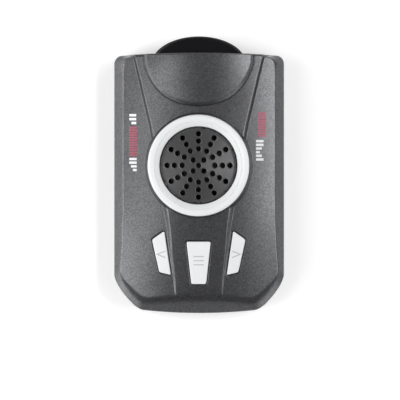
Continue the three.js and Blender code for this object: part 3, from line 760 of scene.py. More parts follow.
WIDEST = housing_outline(
    side=SIDE, front=FRONT, bow=0.7, corner=3.4, shoulder=REAR + 15.7,
    chamfer=(SIDE - 0.8, REAR + 10.75, SIDE - 7.8, REAR + 3.65),
    rear_corner=(SIDE - 10.4, REAR + 1.4, SIDE - 12.2, REAR + 1.2), rear=REAR,
)
DECK_EDGE = housing_outline(
    side=SIDE - 3.7, front=FRONT - 0.8, bow=0.7, corner=3.0, shoulder=REAR + 18,
    chamfer=(SIDE - 4.6, REAR + 13.7, SIDE - 10.5, REAR + 7.6),
    rear_corner=(SIDE - 12.4, REAR + 6.0, SIDE - 14.6, REAR + 5.6), rear=REAR + 5.2,
)
LOBE = mirrored(np.vstack([
    [[0, FRONT + 3], [22.4, FRONT + 3]],
    np.linspace((22.4, FRONT + 2), (22.4, FRONT - 4.2), 12),
    bezier((22.4, FRONT - 4.2), (17.2, FRONT - 21.3), (0, FRONT - 21.5), 60),
]))


def side_key_outline(sign):
    corners = [(14.1, -22.95), (19.25, -26.55), (16.25, -40), (11.45, -41.15)]
    return clockwise(rounded([(sign * x, y) for x, y in corners], 0.8))


KEYS = {
    "left": side_key_outline(-1),
    "mode": clockwise(rounded([(-5, -27.35), (5, -27.35), (3.05, -44.85), (-3.05, -44.85)], 0.8)),
    "right": side_key_outline(1),
}
KEY_HOLES = {
    side: resampled(inset(resampled(outline, 0.4), -RUNNING_GAP), 0.4)
    for side, outline in KEYS.items()
}


# ---- Printed marks: plain bars and dashes ----

def flank_marks(inner, white, red):
    """Loops of one column of printed bars. Rows are (distance behind the front, left, right)."""
    found = {"white": [], "red": []}
    for kind, rows, half in (("white", white, 0.5), ("red", red, 0.36)):
        for back, left, right in rows:
            centre, half_width = (inner + (left + right) / 2, FRONT - back), (right - left) / 2
            found[kind].append(clockwise(rectangle(centre, (half_width, half), 0.15, 2)))
    return found


LEFT_MARKS = flank_marks(
    -28.6,
    white=[
        (25.4, 0, 2.9), (27.0, 0, 2.9), (28.6, 0.9, 2.9),
        (43.4, 0, 3.1), (44.9, 0, 3.1), (46.4, 0.7, 3.1), (47.9, 1.5, 3.1),
    ],
    red=[(back, -0.1, 3.2) for back in np.arange(30.5, 42.2, 1.03)],
)
RIGHT_MARKS = flank_marks(
    23.5,
    white=[
        (36.1, 0, 3.1), (37.6, 0, 3.1), (39.1, 0, 2.4),
        (40.6, 0, 1.6), (42.1, 0, 2.4), (43.6, 0, 3.1),
    ],
    red=[(back, 0.7, 4.1) for back in np.arange(24.6, 34.9, 1.03)],
)
WHITE_MARKS = LEFT_MARKS["white"] + RIGHT_MARKS["white"]
RED_MARKS = LEFT_MARKS["red"] + RIGHT_MARKS["red"]


# ---- Top housing ----

def hood_half(y):
    return np.interp(FRONT - y, HOOD_BACK, HOOD_HALF)


def hood_wall(y):
    return np.interp(FRONT - y, HOOD_WALL_BACK, HOOD_WALL)


BEVEL_BLEND, BLEND_AT_FRONT, BLEND_AT_REAR = 0.3, 0.9, 1.3  # the ends' are added to the first
OUTER_EDGE = 0.4
HOOD_EDGE = 1.1
LOBE_EDGE = 0.6
LOBE_FOOT = 0.1  # how far its wall starts outside the lobe's outline
LOBE_WALL, LOBE_WALL_LESS = 1.4, 0.25  # width of its wall, and how much of it goes forwards
GROOVE_PLACE, GROOVE_WIDTH, GROOVE_DEPTH = 0.2, 0.14, 0.22  # outside the lobe's outline
KEY_HOLE_EDGE = 0.28
BOSS_EDGE, BOSS_BLEND = 0.25, 0.18


def top_surface(points):
    """Height of the top housing's outer face."""
    x, y = points.T
    widest = signed_distance(points, WIDEST)
    deck = signed_distance(points, DECK_EDGE)
    bevel = BEVEL_START + (BEVEL_END - BEVEL_START) * widest / np.maximum(widest - deck, 0.5)
    ends = smooth_step(y, FRONT - 9, FRONT - 2) * BLEND_AT_FRONT
    ends = ends + smooth_step(-y, -REAR - 18, -REAR - 7) * BLEND_AT_REAR
    height = smooth_min(bevel, crown(x, y, 0), BEVEL_BLEND + ends) - edge_drop(widest, OUTER_EDGE)

    fade = hood_fade(y)
    deck_level = np.where(y > 0, crown(x, y, 0) - edge_drop(widest, HOOD_EDGE), height)
    climb = 0.5 + (hood_half(y) - np.abs(x)) / hood_wall(y)
    hood = smooth_min(HOOD_RISE * fade * climb, HOOD_RISE * fade, 0.02 + 0.4 * fade)
    height = smooth_max(height, deck_level + hood, 0.02 + 0.12 * fade)

    lobe = signed_distance(points, LOBE)
    forward = smooth_step(y, FRONT - 21.5, FRONT - 3)
    rise = LOBE_RISE_BACK + (LOBE_RISE_FRONT - LOBE_RISE_BACK) * forward - LOBE_CROWN * x * x
    base = crown(x, y, HOOD_RISE)
    rim = base + rise * (lobe + LOBE_FOOT) / (LOBE_WALL - LOBE_WALL_LESS * forward)
    dome = smooth_min(rim, base + rise, 0.15) - edge_drop(widest, LOBE_EDGE)
    height = np.where(lobe > -1.5, smooth_max(height, dome, 0.05), height)
    groove = GROOVE_DEPTH * np.exp(-(((lobe + GROOVE_PLACE) / GROOVE_WIDTH) ** 2))
    height = height - groove * (widest > 0.3)

    radius = np.hypot(x, y - SPEAKER_Y)
    boss = smooth_min(BOSS_TOP, BOSS_TOP - (radius - BOSS_RADIUS) * BOSS_SLOPE, BOSS_EDGE)
    height = smooth_max(height, boss, BOSS_BLEND)
    for hole in KEY_HOLES.values():
        near = (np.abs(x - hole[:, 0].mean()) < 8) & (np.abs(y - hole[:, 1].mean()) < 12)
        height[near] -= edge_drop(-signed_distance(points[near], hole), KEY_HOLE_EDGE)
    return height


def top_inside(points):
    """Height of the top housing's inner face, which is its rim level along the outline."""
    x, y = points.T
    widest = signed_distance(points, WIDEST)
    bevel = BEVEL_START + (widest - WALL) * (BEVEL_END - BEVEL_START) / 3.7
    in_hood = np.abs(x) < hood_half(y) - WALL
    ceiling = np.where(in_hood, crown(x, y, HOOD_RISE), crown(x, y, 0)) - WALL
    height = np.where(widest < WALL - 0.02, RIM, np.minimum(bevel, ceiling))
    radius = np.hypot(x, y - SPEAKER_Y)
    height = np.where(radius < BOSS_RADIUS + 0.5, BOSS_BOTTOM, height)
    height = np.where(radius < SPEAKER_POCKET, SPEAKER_SEAT, height)
    reach = np.clip((y - LENS_Y) / (LENS_DEPTH + GAP), 0, 1)
    in_lens = (np.abs(x) < (LENS_HALF_WIDTH + GAP) * np.sqrt(1 - reach * reach)) & (y > LENS_Y - 4)
    height = np.where(in_lens, np.maximum(height, LENS_TOP + GAP), height)
    in_window = (np.abs(x) < WINDOW_HALF_WIDTH + GAP) & (y < REAR + 5)
    return np.where(in_window, np.maximum(height, WINDOW_TOP + GAP), height)


def hood_rows():
    """Points along both hood walls, closely spaced across each fold."""
    y = np.arange(FADE_END - 1, FRONT - 0.3, 0.6)
    half, wall = hood_half(y), hood_wall(y)
    foot = [-1.7, -1.2, -0.85, -0.6, -0.4, -0.2, 0, 0.15, 0.3]
    shares = [half + wall / 2 - at for at in foot] + [half, half - wall / 4]
    shares += [half - wall / 2 - at for at in (-0.2, -0.1, 0, 0.1, 0.2, 0.4, 0.8)]
    return np.vstack([np.column_stack([sign * row, y]) for row in shares for sign in (-1, 1)])


def rows_around(loop, distances, spacing):
    """Points beside a closed loop, at distances inwards from it."""
    return insets(resampled(clockwise(loop), spacing), distances)


def housing_grid(spacing):
    return grid((-SIDE, REAR), (SIDE, FRONT), spacing)


def top_housing():
    """The painted shell with its holes, its fine rows of points along each fold, and its marks."""
    loops = [WIDEST, circle(SPEAKER, SPEAKER_HOLE, 120), *KEY_HOLES.values()]
    shares = np.concatenate([np.arange(0.03, 0.8, 0.09), np.arange(0.8, 1.5, 0.05)])
    lobe_offsets = [-0.9, -0.6, -0.5, -0.4, -0.3, -0.2, -0.1, 0, 0.1, 0.3, 0.6, 0.9]
    lobe_offsets += [1.0, 1.1, 1.2, 1.3, 1.4, 1.6]
    boss_offsets = [-1.9, -1.4, -1.1, -0.9, -0.7, -0.5, -0.3, -0.15, 0, 0.1, 0.2, 0.3, 0.5, 1]
    key_offsets = [-0.05, -0.12, -0.2, -0.29, -0.45]
    free = [
        insets(WIDEST, (0.04, 0.12, 0.25, 0.42, 0.7, 1.1)),
        *[WIDEST + (DECK_EDGE - WIDEST) * share for share in shares],
        hood_rows(),
        rows_around(LOBE, lobe_offsets, 0.5),
        rows_around(circle(SPEAKER, BOSS_RADIUS, 240), boss_offsets, 0.6),
        *[rows_around(hole, key_offsets, 0.4) for hole in KEY_HOLES.values()],
        housing_grid(0.95),
    ]
    free = spaced(np.vstack(free), 0.09)
    marks = WHITE_MARKS + RED_MARKS
    for mark in marks:
        low, high = mark.min(0) - 0.1, mark.max(0) + 0.1
        free = free[~np.all((free > low) & (free < high), axis=1)]

    # Two close circles make each step of the inner face, at the speaker's pocket and at the boss
    steps = [(SPEAKER_POCKET + gap, 120) for gap in (0, 0.05)]
    steps += [(BOSS_RADIUS + gap, 140) for gap in (0.5, 0.55)]
    steps = [circle(SPEAKER, radius, count) for radius, count in steps]
    low_free = (0.5, insets(WIDEST, (WALL - 0.05, WALL)), *steps, housing_grid(1.6))
    made = shell(
        "top_housing_shell", loops, top_surface, top_inside, [PAINT, PRINT_WHITE, PRINT_RED],
        (0.08, free), low_free, chains(marks), 0.12, painted(WHITE_MARKS, RED_MARKS), sharp=38,
        exact=True, collar=0.3,
    )
    piece(made, "housing_paint", "top_housing")


top_housing()


# ---- Bottom housing ----

SOLE_BEVEL = 3
DRAFT = 0.5
DRAFT_DEPTH = 9.5  # how far the inner wall's slope goes down
FLOOR = UNDERSIDE + WALL
BELOW = 0.5  # a level under the underside, where its cutters start
POST_RADIUS, POST_BOTTOM = 3.9, 1.5
WELL_RADIUS, WELL_CHAMFER, WELL_SEAT = 2.9, 0.35, 4.5
SCREW_HOLE_RADIUS, SCREW_HOLE_TOP = 1.35, 15
FOOT_SEAT_RADIUS, FOOT_SEAT_TOP = 5.15, 1.6
LABEL_GAP, LABEL_RECESS_TOP = 0.2, 1.3
SOCKET_RADIUS, SOCKET_MOUTH_RADIUS = 4, 4.5
SWITCH_RECESS, SWITCH_RECESS_DEPTH = (6, 2.8), 1.1
SWITCH_SLOT = (2.7, 1.5)


def bottom_outside(points):
    distance = signed_distance(points, WIDEST)
    side = PARTING - (PARTING - UNDERSIDE - SOLE_BEVEL) * distance / DRAFT
    slope = UNDERSIDE + SOLE_BEVEL * (SOLE_BEVEL - distance) / (SOLE_BEVEL - DRAFT)
    return smooth_max(smooth_min(side, slope, 0.8), UNDERSIDE, 0.5)


def bottom_inside(points):
    distance = signed_distance(points, WIDEST)
    side = PARTING - DRAFT_DEPTH * (distance - WALL) / DRAFT
    return np.where(distance < WALL + 0.01, PARTING, np.clip(side, FLOOR, PARTING))


def block(low, high, edge=0.0, material=PAINT):
    """An upright block between two corners."""
    (x0, y0, z0), (x1, y1, z1) = low, high
    loop = rectangle(((x0 + x1) / 2, (y0 + y1) / 2), ((x1 - x0) / 2, (y1 - y0) / 2), edge, 4)
    loop = clockwise(loop)
    size = len(loop)
    vertices = np.vstack([np.column_stack([loop, np.full(size, z)]) for z in (z0, z1)])
    faces = [list(range(size)), list(range(2 * size - 1, size - 1, -1))]
    faces += [[i, i + size, (i + 1) % size + size, (i + 1) % size] for i in range(size)]
    return make("cutter", vertices, faces, [material])


def lens_loop(half_width, depth, back=4.0, steps=72):
    """Half an ellipse ahead of the lens's widest line, and a straight part behind it."""
    front = arc((0, 0), 1, 180, 0, steps) * [half_width, depth] + [0, LENS_Y]
    left, right = [-half_width, LENS_Y - back], [half_width, LENS_Y - back]
    return clockwise(np.vstack([[left], front, [right]]))


def bottom_housing():
    """The tray, with its screw posts joined on and all its seats and openings cut out."""
    edge_offsets = [0.03, 0.1, 0.2, 0.35, 0.45, 0.5, 0.55, 0.65, 0.8, 1.2, 1.7, 2.2, 2.5]
    edge_offsets += [2.6, 2.8, 2.9, 3.0, 3.1, 3.3, 3.6]
    free = (0.3, insets(WIDEST, (WALL, WALL + 0.02, 2.05, 2.3, 2.42)), housing_grid(4))
    low_free = (0.02, insets(WIDEST, edge_offsets), housing_grid(2.5))
    made = shell("bottom_housing_shell", [WIDEST], bottom_inside, bottom_outside, [PAINT],
                 free, low_free, sharp=30)
    post = [(0, POST_BOTTOM), (POST_RADIUS, POST_BOTTOM), (POST_RADIUS, PARTING), (0, PARTING)]
    well = [
        (0, BELOW), (WELL_RADIUS + 0.5, BELOW), (WELL_RADIUS + WELL_CHAMFER, UNDERSIDE),
        (WELL_RADIUS, UNDERSIDE + WELL_CHAMFER), (WELL_RADIUS, WELL_SEAT),
        (SCREW_HOLE_RADIUS, WELL_SEAT), (SCREW_HOLE_RADIUS, SCREW_HOLE_TOP), (0, SCREW_HOLE_TOP),
    ]
    seat = [
        (0, BELOW), (FOOT_SEAT_RADIUS + 0.25, BELOW), (FOOT_SEAT_RADIUS + 0.25, UNDERSIDE),
        (FOOT_SEAT_RADIUS, UNDERSIDE + 0.15), (FOOT_SEAT_RADIUS, FOOT_SEAT_TOP),
        (0, FOOT_SEAT_TOP),
    ]
    cutters = []
    for place in PLACES:
        x, y, _ = middle_mm(f"housing_screw_{place}")
        made = combine(made, "UNION", turned("post", post, [PAINT], 40, (x, y, 0)))
        cutters.append(turned("cutter", well, [PAINT], 48, (x, y, 0)))
        x, y, _ = middle_mm(f"rubber_foot_{place}")
        cutters.append(turned("cutter", seat, [PAINT], 64, (x, y, 0)))
    label_low, label_high = box_mm("blank_label")
    low, high = label_low[:2] - LABEL_GAP, label_high[:2] + LABEL_GAP
    cutters.append(block((*low, BELOW), (*high, LABEL_RECESS_TOP), 1.0))
    mouth = [
        (0, SIDE - 4), (SOCKET_RADIUS, SIDE - 4), (SOCKET_RADIUS, SIDE - 0.9),
        (SOCKET_MOUTH_RADIUS, SIDE - 0.3), (SOCKET_MOUTH_RADIUS, SIDE + 1), (0, SIDE + 1),
    ]
    cutters.append(turned("cutter", mouth, [PAINT], 64, (0, *SOCKET[1:]), "X"))
    lens = lens_loop(LENS_HALF_WIDTH + GAP, LENS_DEPTH + GAP)
    cutters.append(slab("cutter", lens, LENS_BOTTOM - GAP, 30, [PAINT], 0.01))
    half = WINDOW_HALF_WIDTH + GAP
    cutters.append(block((-half, REAR - 1, WINDOW_BOTTOM - GAP), (half, REAR + 5, 16)))
    knob = (-SWITCH_Y, (KNOB_LOW[2] + KNOB_HIGH[2]) / 2)
    recess = rectangle(knob, SWITCH_RECESS, 0.9, 6)
    depth = SWITCH_RECESS_DEPTH
    cutters.append(slab("cutter", recess, SIDE - depth, SIDE + 1, [PAINT], 0.01, to_left))
    slot = rectangle(knob, SWITCH_SLOT, 0.4, 4)
    cutters.append(slab("cutter", slot, SIDE - 4, SIDE, [PAINT], 0.01, to_left))
    made = combine(made, "DIFFERENCE", *cutters, sharp=30)
    piece(made, "housing_paint", "bottom_housing")


bottom_housing()


# ---- Laser lens and display window ----

LENS_EDGE, LENS_BELLY = 0.3, 3.0  # radii of its upper and its lower edge
LENS_FALL, LENS_FALL_REACH = 2.7, 8  # how far its top falls towards the front, and over what
LENS_CROWN = 0.002
LENS_AREA = ((-20, 44), (20, 58))
FLANGE_TOP = 21.2
FLANGE_BACK, FLANGE_FRONT = FRONT - 4.9, FRONT - 3.1
PANE_EDGE, PANE_OUTSIDE, PANE_INSIDE = 0.5, 0.6, 2.8  # its faces are behind the rear face
PANE_AREA = ((-20, 5), (20, 16))


def lens_front(points):
    """Distance of each point from the lens's curved front, or from its straight sides."""
    x, y = points[:, 0], points[:, 1] - LENS_Y
    reach = np.hypot(x / LENS_HALF_WIDTH, y / LENS_DEPTH)
    slope = np.hypot(x / LENS_HALF_WIDTH ** 2, y / LENS_DEPTH ** 2)
    curved = (1 - reach) * np.maximum(reach, 1e-6) / np.maximum(slope, 1e-6)
    return np.maximum(np.where(y > 0, curved, LENS_HALF_WIDTH - np.abs(x)), 0)


def laser_lens():
    """The hollow dome, and the flange behind it that the housing holds."""
    loop = resampled(lens_loop(LENS_HALF_WIDTH, LENS_DEPTH, 0.9), 0.5)

    def high(points):
        distance = lens_front(points)
        fall = LENS_FALL * (1 - np.minimum(distance / LENS_FALL_REACH, 1)) ** 2
        return LENS_TOP - fall - edge_drop(distance, LENS_EDGE) - LENS_CROWN * points[:, 0] ** 2

    def low(points):
        return LENS_BOTTOM + edge_drop(lens_front(points), LENS_BELLY)

    rows = insets(loop, (*edge_rows(LENS_EDGE, 4), 0.6, 1, 1.5))
    low_rows = insets(loop, edge_rows(LENS_BELLY, 8))
    made = shell(
        "laser_lens_dome", [loop], high, low, [LENS_BLACK], (0.1, rows, grid(*LENS_AREA, 1)),
        (0.1, low_rows, grid(*LENS_AREA, 1.5)), collar=0.3,
    )
    inner = LENS_HALF_WIDTH - LENS_WALL
    hollow = slab(
        "cutter", lens_loop(inner, LENS_DEPTH - LENS_WALL), LENS_BOTTOM + LENS_WALL,
        LENS_TOP - 2 * LENS_WALL, [LENS_BLACK], 1.2,
    )
    made = combine(made, "DIFFERENCE", hollow)
    (_, _, bottom), (side, _, _) = box_mm("laser_lens")
    plate = rectangle((0, (bottom + FLANGE_TOP) / 2), (side, (FLANGE_TOP - bottom) / 2), 1)
    plate = slab("cutter", plate, FLANGE_BACK, FLANGE_FRONT, [LENS_BLACK], 0.2, to_front)
    opening = rectangle((0, 14), (inner, 6), 1)
    opening = slab("cutter", opening, FRONT - 6, FRONT - 2, [LENS_BLACK], 0.2, to_front)
    made = combine(made, "UNION", combine(plate, "DIFFERENCE", opening))
    piece(made, "laser_lens_black", "laser_lens")


def rear_face(x):
    """Where the housing's widest outline lies at the rear."""
    return REAR + 1.2 * (x / (SIDE - 12.2)) ** 2


def display_pane():
    centre = (0, (WINDOW_BOTTOM + WINDOW_TOP) / 2)
    half = (WINDOW_HALF_WIDTH, (WINDOW_TOP - WINDOW_BOTTOM) / 2)
    loop = clockwise(resampled(rectangle(centre, half, 0.8), 0.4))
    rows = insets(loop, edge_rows(PANE_EDGE, 4))

    def outer(points):
        edge = np.maximum(signed_distance(points, loop), 0)
        return -(rear_face(points[:, 0]) + PANE_OUTSIDE) - edge_drop(edge, PANE_EDGE)

    def inner(points):
        return -(rear_face(points[:, 0]) + PANE_INSIDE)

    made = shell(
        "display_pane", [loop], outer, inner, [WINDOW_SMOKE],
        (0.08, rows, grid(*PANE_AREA, 1.2)), (0.4, grid(*PANE_AREA, 2)), place=to_rear,
    )
    piece(made, "window_smoke", "display_window")


laser_lens()
display_pane()


# ---- Speaker ring and grille ----

GRILLE_RADIUS, GRILLE_RIM_RADIUS, GRILLE_RIM_TOP = 15.6, 16.4, 27.15
GRILLE_UNDERSIDE, UNDERSIDE_DISH = 25.7, 0.7
DISH_LOW, DISH_DEPTH, DISH_RADIUS, DISH_POWER = 26.65, 1.4, 14.6, 1.35
HOLE_RADIUS, HOLE_EDGE = 1.04, 0.22
HOLES = [(0.0, 0.0)]
HOLES += [(3.15 * math.cos(a), 3.15 * math.sin(a)) for a in np.radians([45, 135, 225, 315])]
HOLES += [
    (radius * math.cos(angle), radius * math.sin(angle))
    for angle in np.radians(np.arange(0, 360, 30))
    for radius in (6.75, 9.9, 12.95)
]


def speaker_ring():
    """The trim ring, with a fine groove on its inner slope. Corners are (radius, height)."""
    corners = [
        (16, 27.3), (16, 28.55), (17.7, 29.95), (17.9, 29.75), (18.15, 30.2), (19.3, RING_TOP),
        (20.35, 30.25), (RING_OUTER, 29.5), (RING_OUTER, BOSS_TOP + GAP), (17.4, BOSS_TOP + GAP),
        (17.4, 25), (16.6, 25), (16.6, 27.3),
    ]
    radii = [0.1, 0.25, 0.1, 0.08, 0.15, 0.9, 0.5, 0.4, 0.15, 0, 0.1, 0.1, 0]
    made = turned("speaker_trim_ring", rounded(corners, radii), [SILVER], 160, (*SPEAKER, 0))
    piece(made, "silver_trim", "speaker_ring")


def grille():
    """The dished disc, with a rounded edge at each of its holes."""
    centres = np.array(HOLES) + SPEAKER
    holes = [circle(centre, HOLE_RADIUS, 20) for centre in centres]
    rim = circle(SPEAKER, GRILLE_RIM_RADIUS, 110)

    def high(points):
        radius = np.hypot(points[:, 0], points[:, 1] - SPEAKER_Y)
        dish = DISH_LOW + DISH_DEPTH * np.minimum(radius / DISH_RADIUS, 1) ** DISH_POWER
        dish = np.where(radius > GRILLE_RADIUS + 0.02, GRILLE_RIM_TOP, dish)
        gap = np.linalg.norm(points[:, None] - centres, axis=2).min(1) - HOLE_RADIUS
        return dish - edge_drop(np.maximum(gap, 0), HOLE_EDGE)

    def low(points):
        radius = np.hypot(points[:, 0], points[:, 1] - SPEAKER_Y)
        return GRILLE_UNDERSIDE + UNDERSIDE_DISH * np.minimum(radius / DISH_RADIUS, 1) ** 2

    area = ((-17, SPEAKER_Y - 17), (17, SPEAKER_Y + 17))
    free = np.vstack([
        *[rows_around(hole, [-0.05, -0.13, -0.24, -0.5], 0.28) for hole in holes],
        *[circle(SPEAKER, radius, 110) for radius in (14.4, 14.6, 14.8, 15.58, 15.63, 16)],
        grid(*area, 0.8),
    ])
    made = shell("speaker_grille_dish", [rim, *holes], high, low, [GRILLE],
                 (0.06, spaced(free, 0.06)), (0.3, grid(*area, 1.4)))
    piece(made, "grille_dark", "speaker_grille")


speaker_ring()
grille()


# ---- Keys ----

CHEVRON = [(1.7, 1.35), (-1.7, 0), (1.7, -1.35)]
ICONS = {
    "left": ((-15.35, -32.6), [CHEVRON]),
    "mode": ((0, -35.2), [[(-2.1, y), (2.1, y)] for y in (1.7, 0, -1.7)]),
    "right": ((15.35, -32.6), [[(-x, y) for x, y in CHEVRON]]),
}
ICON_WIDTH = 0.42
ICON_DEPTH = 0.12
ICON_SLOPE = 0.06  # width of an icon's sloping sides
KEY_EDGE = 0.5
KEY_BOTTOM = 19
KEY_FLANGE = 1.2  # how far it stands out under the housing
KEY_STEM = [(0, 18.5), (1.3, 18.5), (1.5, 18.7), (1.5, 20), (0, 20)]


def key(side):
    """A crowned cap with sunk icon strokes, and the flange and the stem below it."""
    outline = resampled(KEYS[side], 0.35)
    rise = HOOD_RISE if side == "mode" else 0
    icon_place, strokes = ICONS[side]
    strokes = [np.array(line) + icon_place for line in strokes]
    outer, middle, inner = (
        [stroke(line, ICON_WIDTH - narrower, narrower / 2) for line in strokes]
        for narrower in (0, ICON_SLOPE, 2 * ICON_SLOPE)
    )

    def high(points):
        height = crown(points[:, 0], points[:, 1], rise) + KEY_RISE
        height -= edge_drop(np.maximum(signed_distance(points, outline), 0), KEY_EDGE)
        for loop in middle:
            height[inside(points, loop)] -= ICON_DEPTH
        return height

    corner, far = outline.min(0), outline.max(0)
    free = np.vstack([insets(outline, edge_rows(KEY_EDGE, 5)), grid(corner, far, 0.7)])
    for loop in outer:
        free = free[~inside(free, loop)]
    made = shell(
        f"{side}_key_cap", [outline], high, flat(KEY_BOTTOM), [KEY_SILVER, KEY_ICON_GREY], (0.06, free),
        (0.4, grid(corner, far, 2)), chains(outer + inner), 0.1, painted(outer),
    )
    loop = resampled(inset(outline, -KEY_FLANGE), 0.6)
    top = crown(np.abs(outline[:, 0]).max(), outline[:, 1].min(), rise) - WALL - GAP
    flange = slab("cutter", loop, KEY_BOTTOM, top, [KEY_SILVER], 0.1)
    x, y, _ = middle_mm(f"{side}_tact_plunger")
    stem = turned("cutter", KEY_STEM, [KEY_SILVER], 40, (x, y, 0))
    made = combine(made, "UNION", flange, stem)
    piece(made, "key_silver", f"{side}_button", body=f"{side}_key")


for side in KEYS:
    key(side)


# ---- Power socket and switch ----

NOSE_RADIUS, NOSE_BORE, CONTACT_RADIUS = 3.8, 3.2, 1.15
NOSE_START, NOSE_END, BORE_FLOOR = 22, 34.2, 24.5  # places along X
JACK_BODY_END = 32.4
KNOB_TOP, KNOB_BOTTOM = SIDE - 0.45, SIDE - 0.98
KNOB_EDGE, RIDGE_DEPTH = 0.3, 0.28


def socket():
    """The socket's body and nose, bored for the plug, and the pin inside."""
    _, y, z = SOCKET
    along = (0, y, z)
    mouth = [(NOSE_BORE, 30), (NOSE_BORE, NOSE_END), (NOSE_RADIUS, NOSE_END), (NOSE_RADIUS, 30)]
    profile = [
        (CONTACT_RADIUS, NOSE_START), (CONTACT_RADIUS, BORE_FLOOR), (NOSE_BORE, BORE_FLOOR),
        *map(tuple, rounded(mouth, [0, 0.2, 0.2, 0], 4)), (NOSE_RADIUS, NOSE_START),
    ]
    made = turned("dc_jack_nose", profile, [BLACK], 72, along, "X")
    body_low, body_high = box_mm("dc_jack_body")
    housing = block(body_low, (JACK_BODY_END, *body_high[1:]), 0.4, BLACK)
    bore = [
        (0, 20.5), (CONTACT_RADIUS, 20.5), (CONTACT_RADIUS, BORE_FLOOR), (3.5, BORE_FLOOR),
        (3.5, 36), (0, 36),
    ]
    bore = turned("cutter", bore, [BLACK], 72, along, "X")
    made = combine(made, "UNION", combine(housing, "DIFFERENCE", bore))
    made.name = "dc_jack_shell"
    piece(made, "black_plastic", "dc_jack_body")

    pin_low, pin_high = box_mm("dc_jack_pin")
    radius, start, end = pin_high[2] - z, pin_low[0], pin_high[0]
    pin = [(0, start), (radius, start), (radius, end - 0.2), (0.5, end), (0, end)]
    pin = rounded(pin, [0, 0.15, 0.6, 0.3, 0])
    made = turned("dc_jack_contact_pin", pin, [BRASS], 40, along, "X")
    piece(made, "pin_brass", "dc_jack_pin")


def switch_knob():
    """The ribbed slider, and the stem that goes through the housing's slot."""
    y, z = (KNOB_LOW[1:] + KNOB_HIGH[1:]) / 2
    half = (KNOB_HIGH[1:] - KNOB_LOW[1:]) / 2
    loop = resampled(clockwise(rectangle((-y, z), half, 0.6)), 0.22)

    def high(points):
        edge = np.maximum(signed_distance(points, loop), 0)
        ridge = 0.5 - 0.5 * np.cos(2 * math.pi * (points[:, 0] + y))
        ribs = RIDGE_DEPTH * ridge * smooth_step(edge, 0.35, 0.8)
        return KNOB_TOP - edge_drop(edge, KNOB_EDGE) - ribs

    made = shell("power_switch_slider", [loop], high, flat(KNOB_BOTTOM), [BLACK],
                 (0.12, grid(loop.min(0), loop.max(0), 0.2)), place=to_left)
    stem = rectangle((-y, z), (1.3, 1.1), 0.2)
    stem = slab("cutter", stem, SIDE - 4.2, SIDE - 0.9, [BLACK], 0.05, to_left)
    made = combine(made, "UNION", stem)
    piece(made, "black_plastic", "power_switch_knob", body="power_slider")


socket()
switch_knob()


# ---- Fasteners, feet and label ----

HEAD_HEIGHT, SHANK_RADIUS, POINT_LENGTH = 2, 1.1, 1.2
CROSS = ((1.55, 0.32), (0.32, 1.55))  # half lengths of the drive's two slots
CROSS_DEPTH = 1.1
LABEL_FRAME = (1.2, 1.5)  # its printed frame runs between these distances from the edge


def screw(place):
    """A pan-head screw that points up, with its head in the underside."""
    low, high = box_mm(f"housing_screw_{place}")
    x, y, _ = (low + high) / 2
    seat, tip, radius = low[2], high[2], (high[0] - low[0]) / 2
    corners = [
        (0, seat), (radius, seat), (radius, seat + HEAD_HEIGHT),
        (SHANK_RADIUS, seat + HEAD_HEIGHT), (SHANK_RADIUS, tip - POINT_LENGTH), (0.2, tip),
        (0, tip),
    ]
    profile = rounded(corners, [0, 1.1, 0.15, 0.2, 0.1, 0.1, 0])
    made = turned("screw", profile, [STEEL], 56, (x, y, 0))
    cross = [
        slab("cutter", rectangle((x, y), across, 0.15, 3), seat - 1, seat + CROSS_DEPTH, [STEEL],
             0.12)
        for across in CROSS
    ]
    made = combine(made, "DIFFERENCE", *cross)
    made.name = f"housing_screw_{place}_pan_head"
    piece(made, "screw_steel", f"housing_screw_{place}")


def foot(place):
    """A round rubber foot with a shallow hollow in its sole."""
    low, high = box_mm(f"rubber_foot_{place}")
    x, y, _ = (low + high) / 2
    radius, bottom, top = (high[0] - low[0]) / 2, low[2], high[2]
    corners = [
        (0, bottom + 0.12), (1.6, bottom + 0.12), (1.8, bottom), (4.3, bottom),
        (radius, bottom + 0.7), (radius, top), (0, top),
    ]
    profile = rounded(corners, [0, 0.1, 0.1, 0.4, 0.4, 0.1, 0])
    made = turned(f"rubber_foot_{place}_pad", profile, [RUBBER], 64, (x, y, 0))
    piece(made, "foot_rubber", f"rubber_foot_{place}")


def label():
    """The blank sheet below, which carries only a thin printed frame."""
    low, high = box_mm("blank_label")
    loop = clockwise(resampled(rectangle((0, 0), high[:2], 1.2, 6), 0.8))
    frame_loops = [clockwise(rectangle((0, 0), high[:2] - k, 0.8)) for k in LABEL_FRAME]

    def framed(middles):
        return (inside(middles, frame_loops[0]) & ~inside(middles, frame_loops[1])).astype(int)

    made = shell(
        "blank_label_sheet", [loop], flat(-low[2]), flat(-high[2]), [LABEL, LABEL_INK],
        (1, grid(-high[:2], high[:2], 3)), lines=chains(frame_loops), face_rule=framed,
        place=to_below,
    )
    piece(made, "label_silver", "blank_label")


for place in PLACES:
    screw(place)
    foot(place)
label()


# ---- Display segments behind the smoked window ----

DIGITS = (-11, -3.5, 4, 11)
DIGIT_WIDTH, DIGIT_HEIGHT = 3.2, 4.9
BAR_WIDTH, BAR_POINT, BAR_GAP = 0.5, 0.25, 0.28


def segment_loop(upright):
    """A bar with pointed ends around the origin."""
    end = (DIGIT_HEIGHT / 2 if upright else DIGIT_WIDTH) / 2 - BAR_GAP
    neck, half = end - BAR_POINT, BAR_WIDTH / 2
    loop = [(-end, 0), (-neck, half), (neck, half), (end, 0), (neck, -half), (-neck, -half)]
    return np.array(loop)[:, ::-1] if upright else np.array(loop)


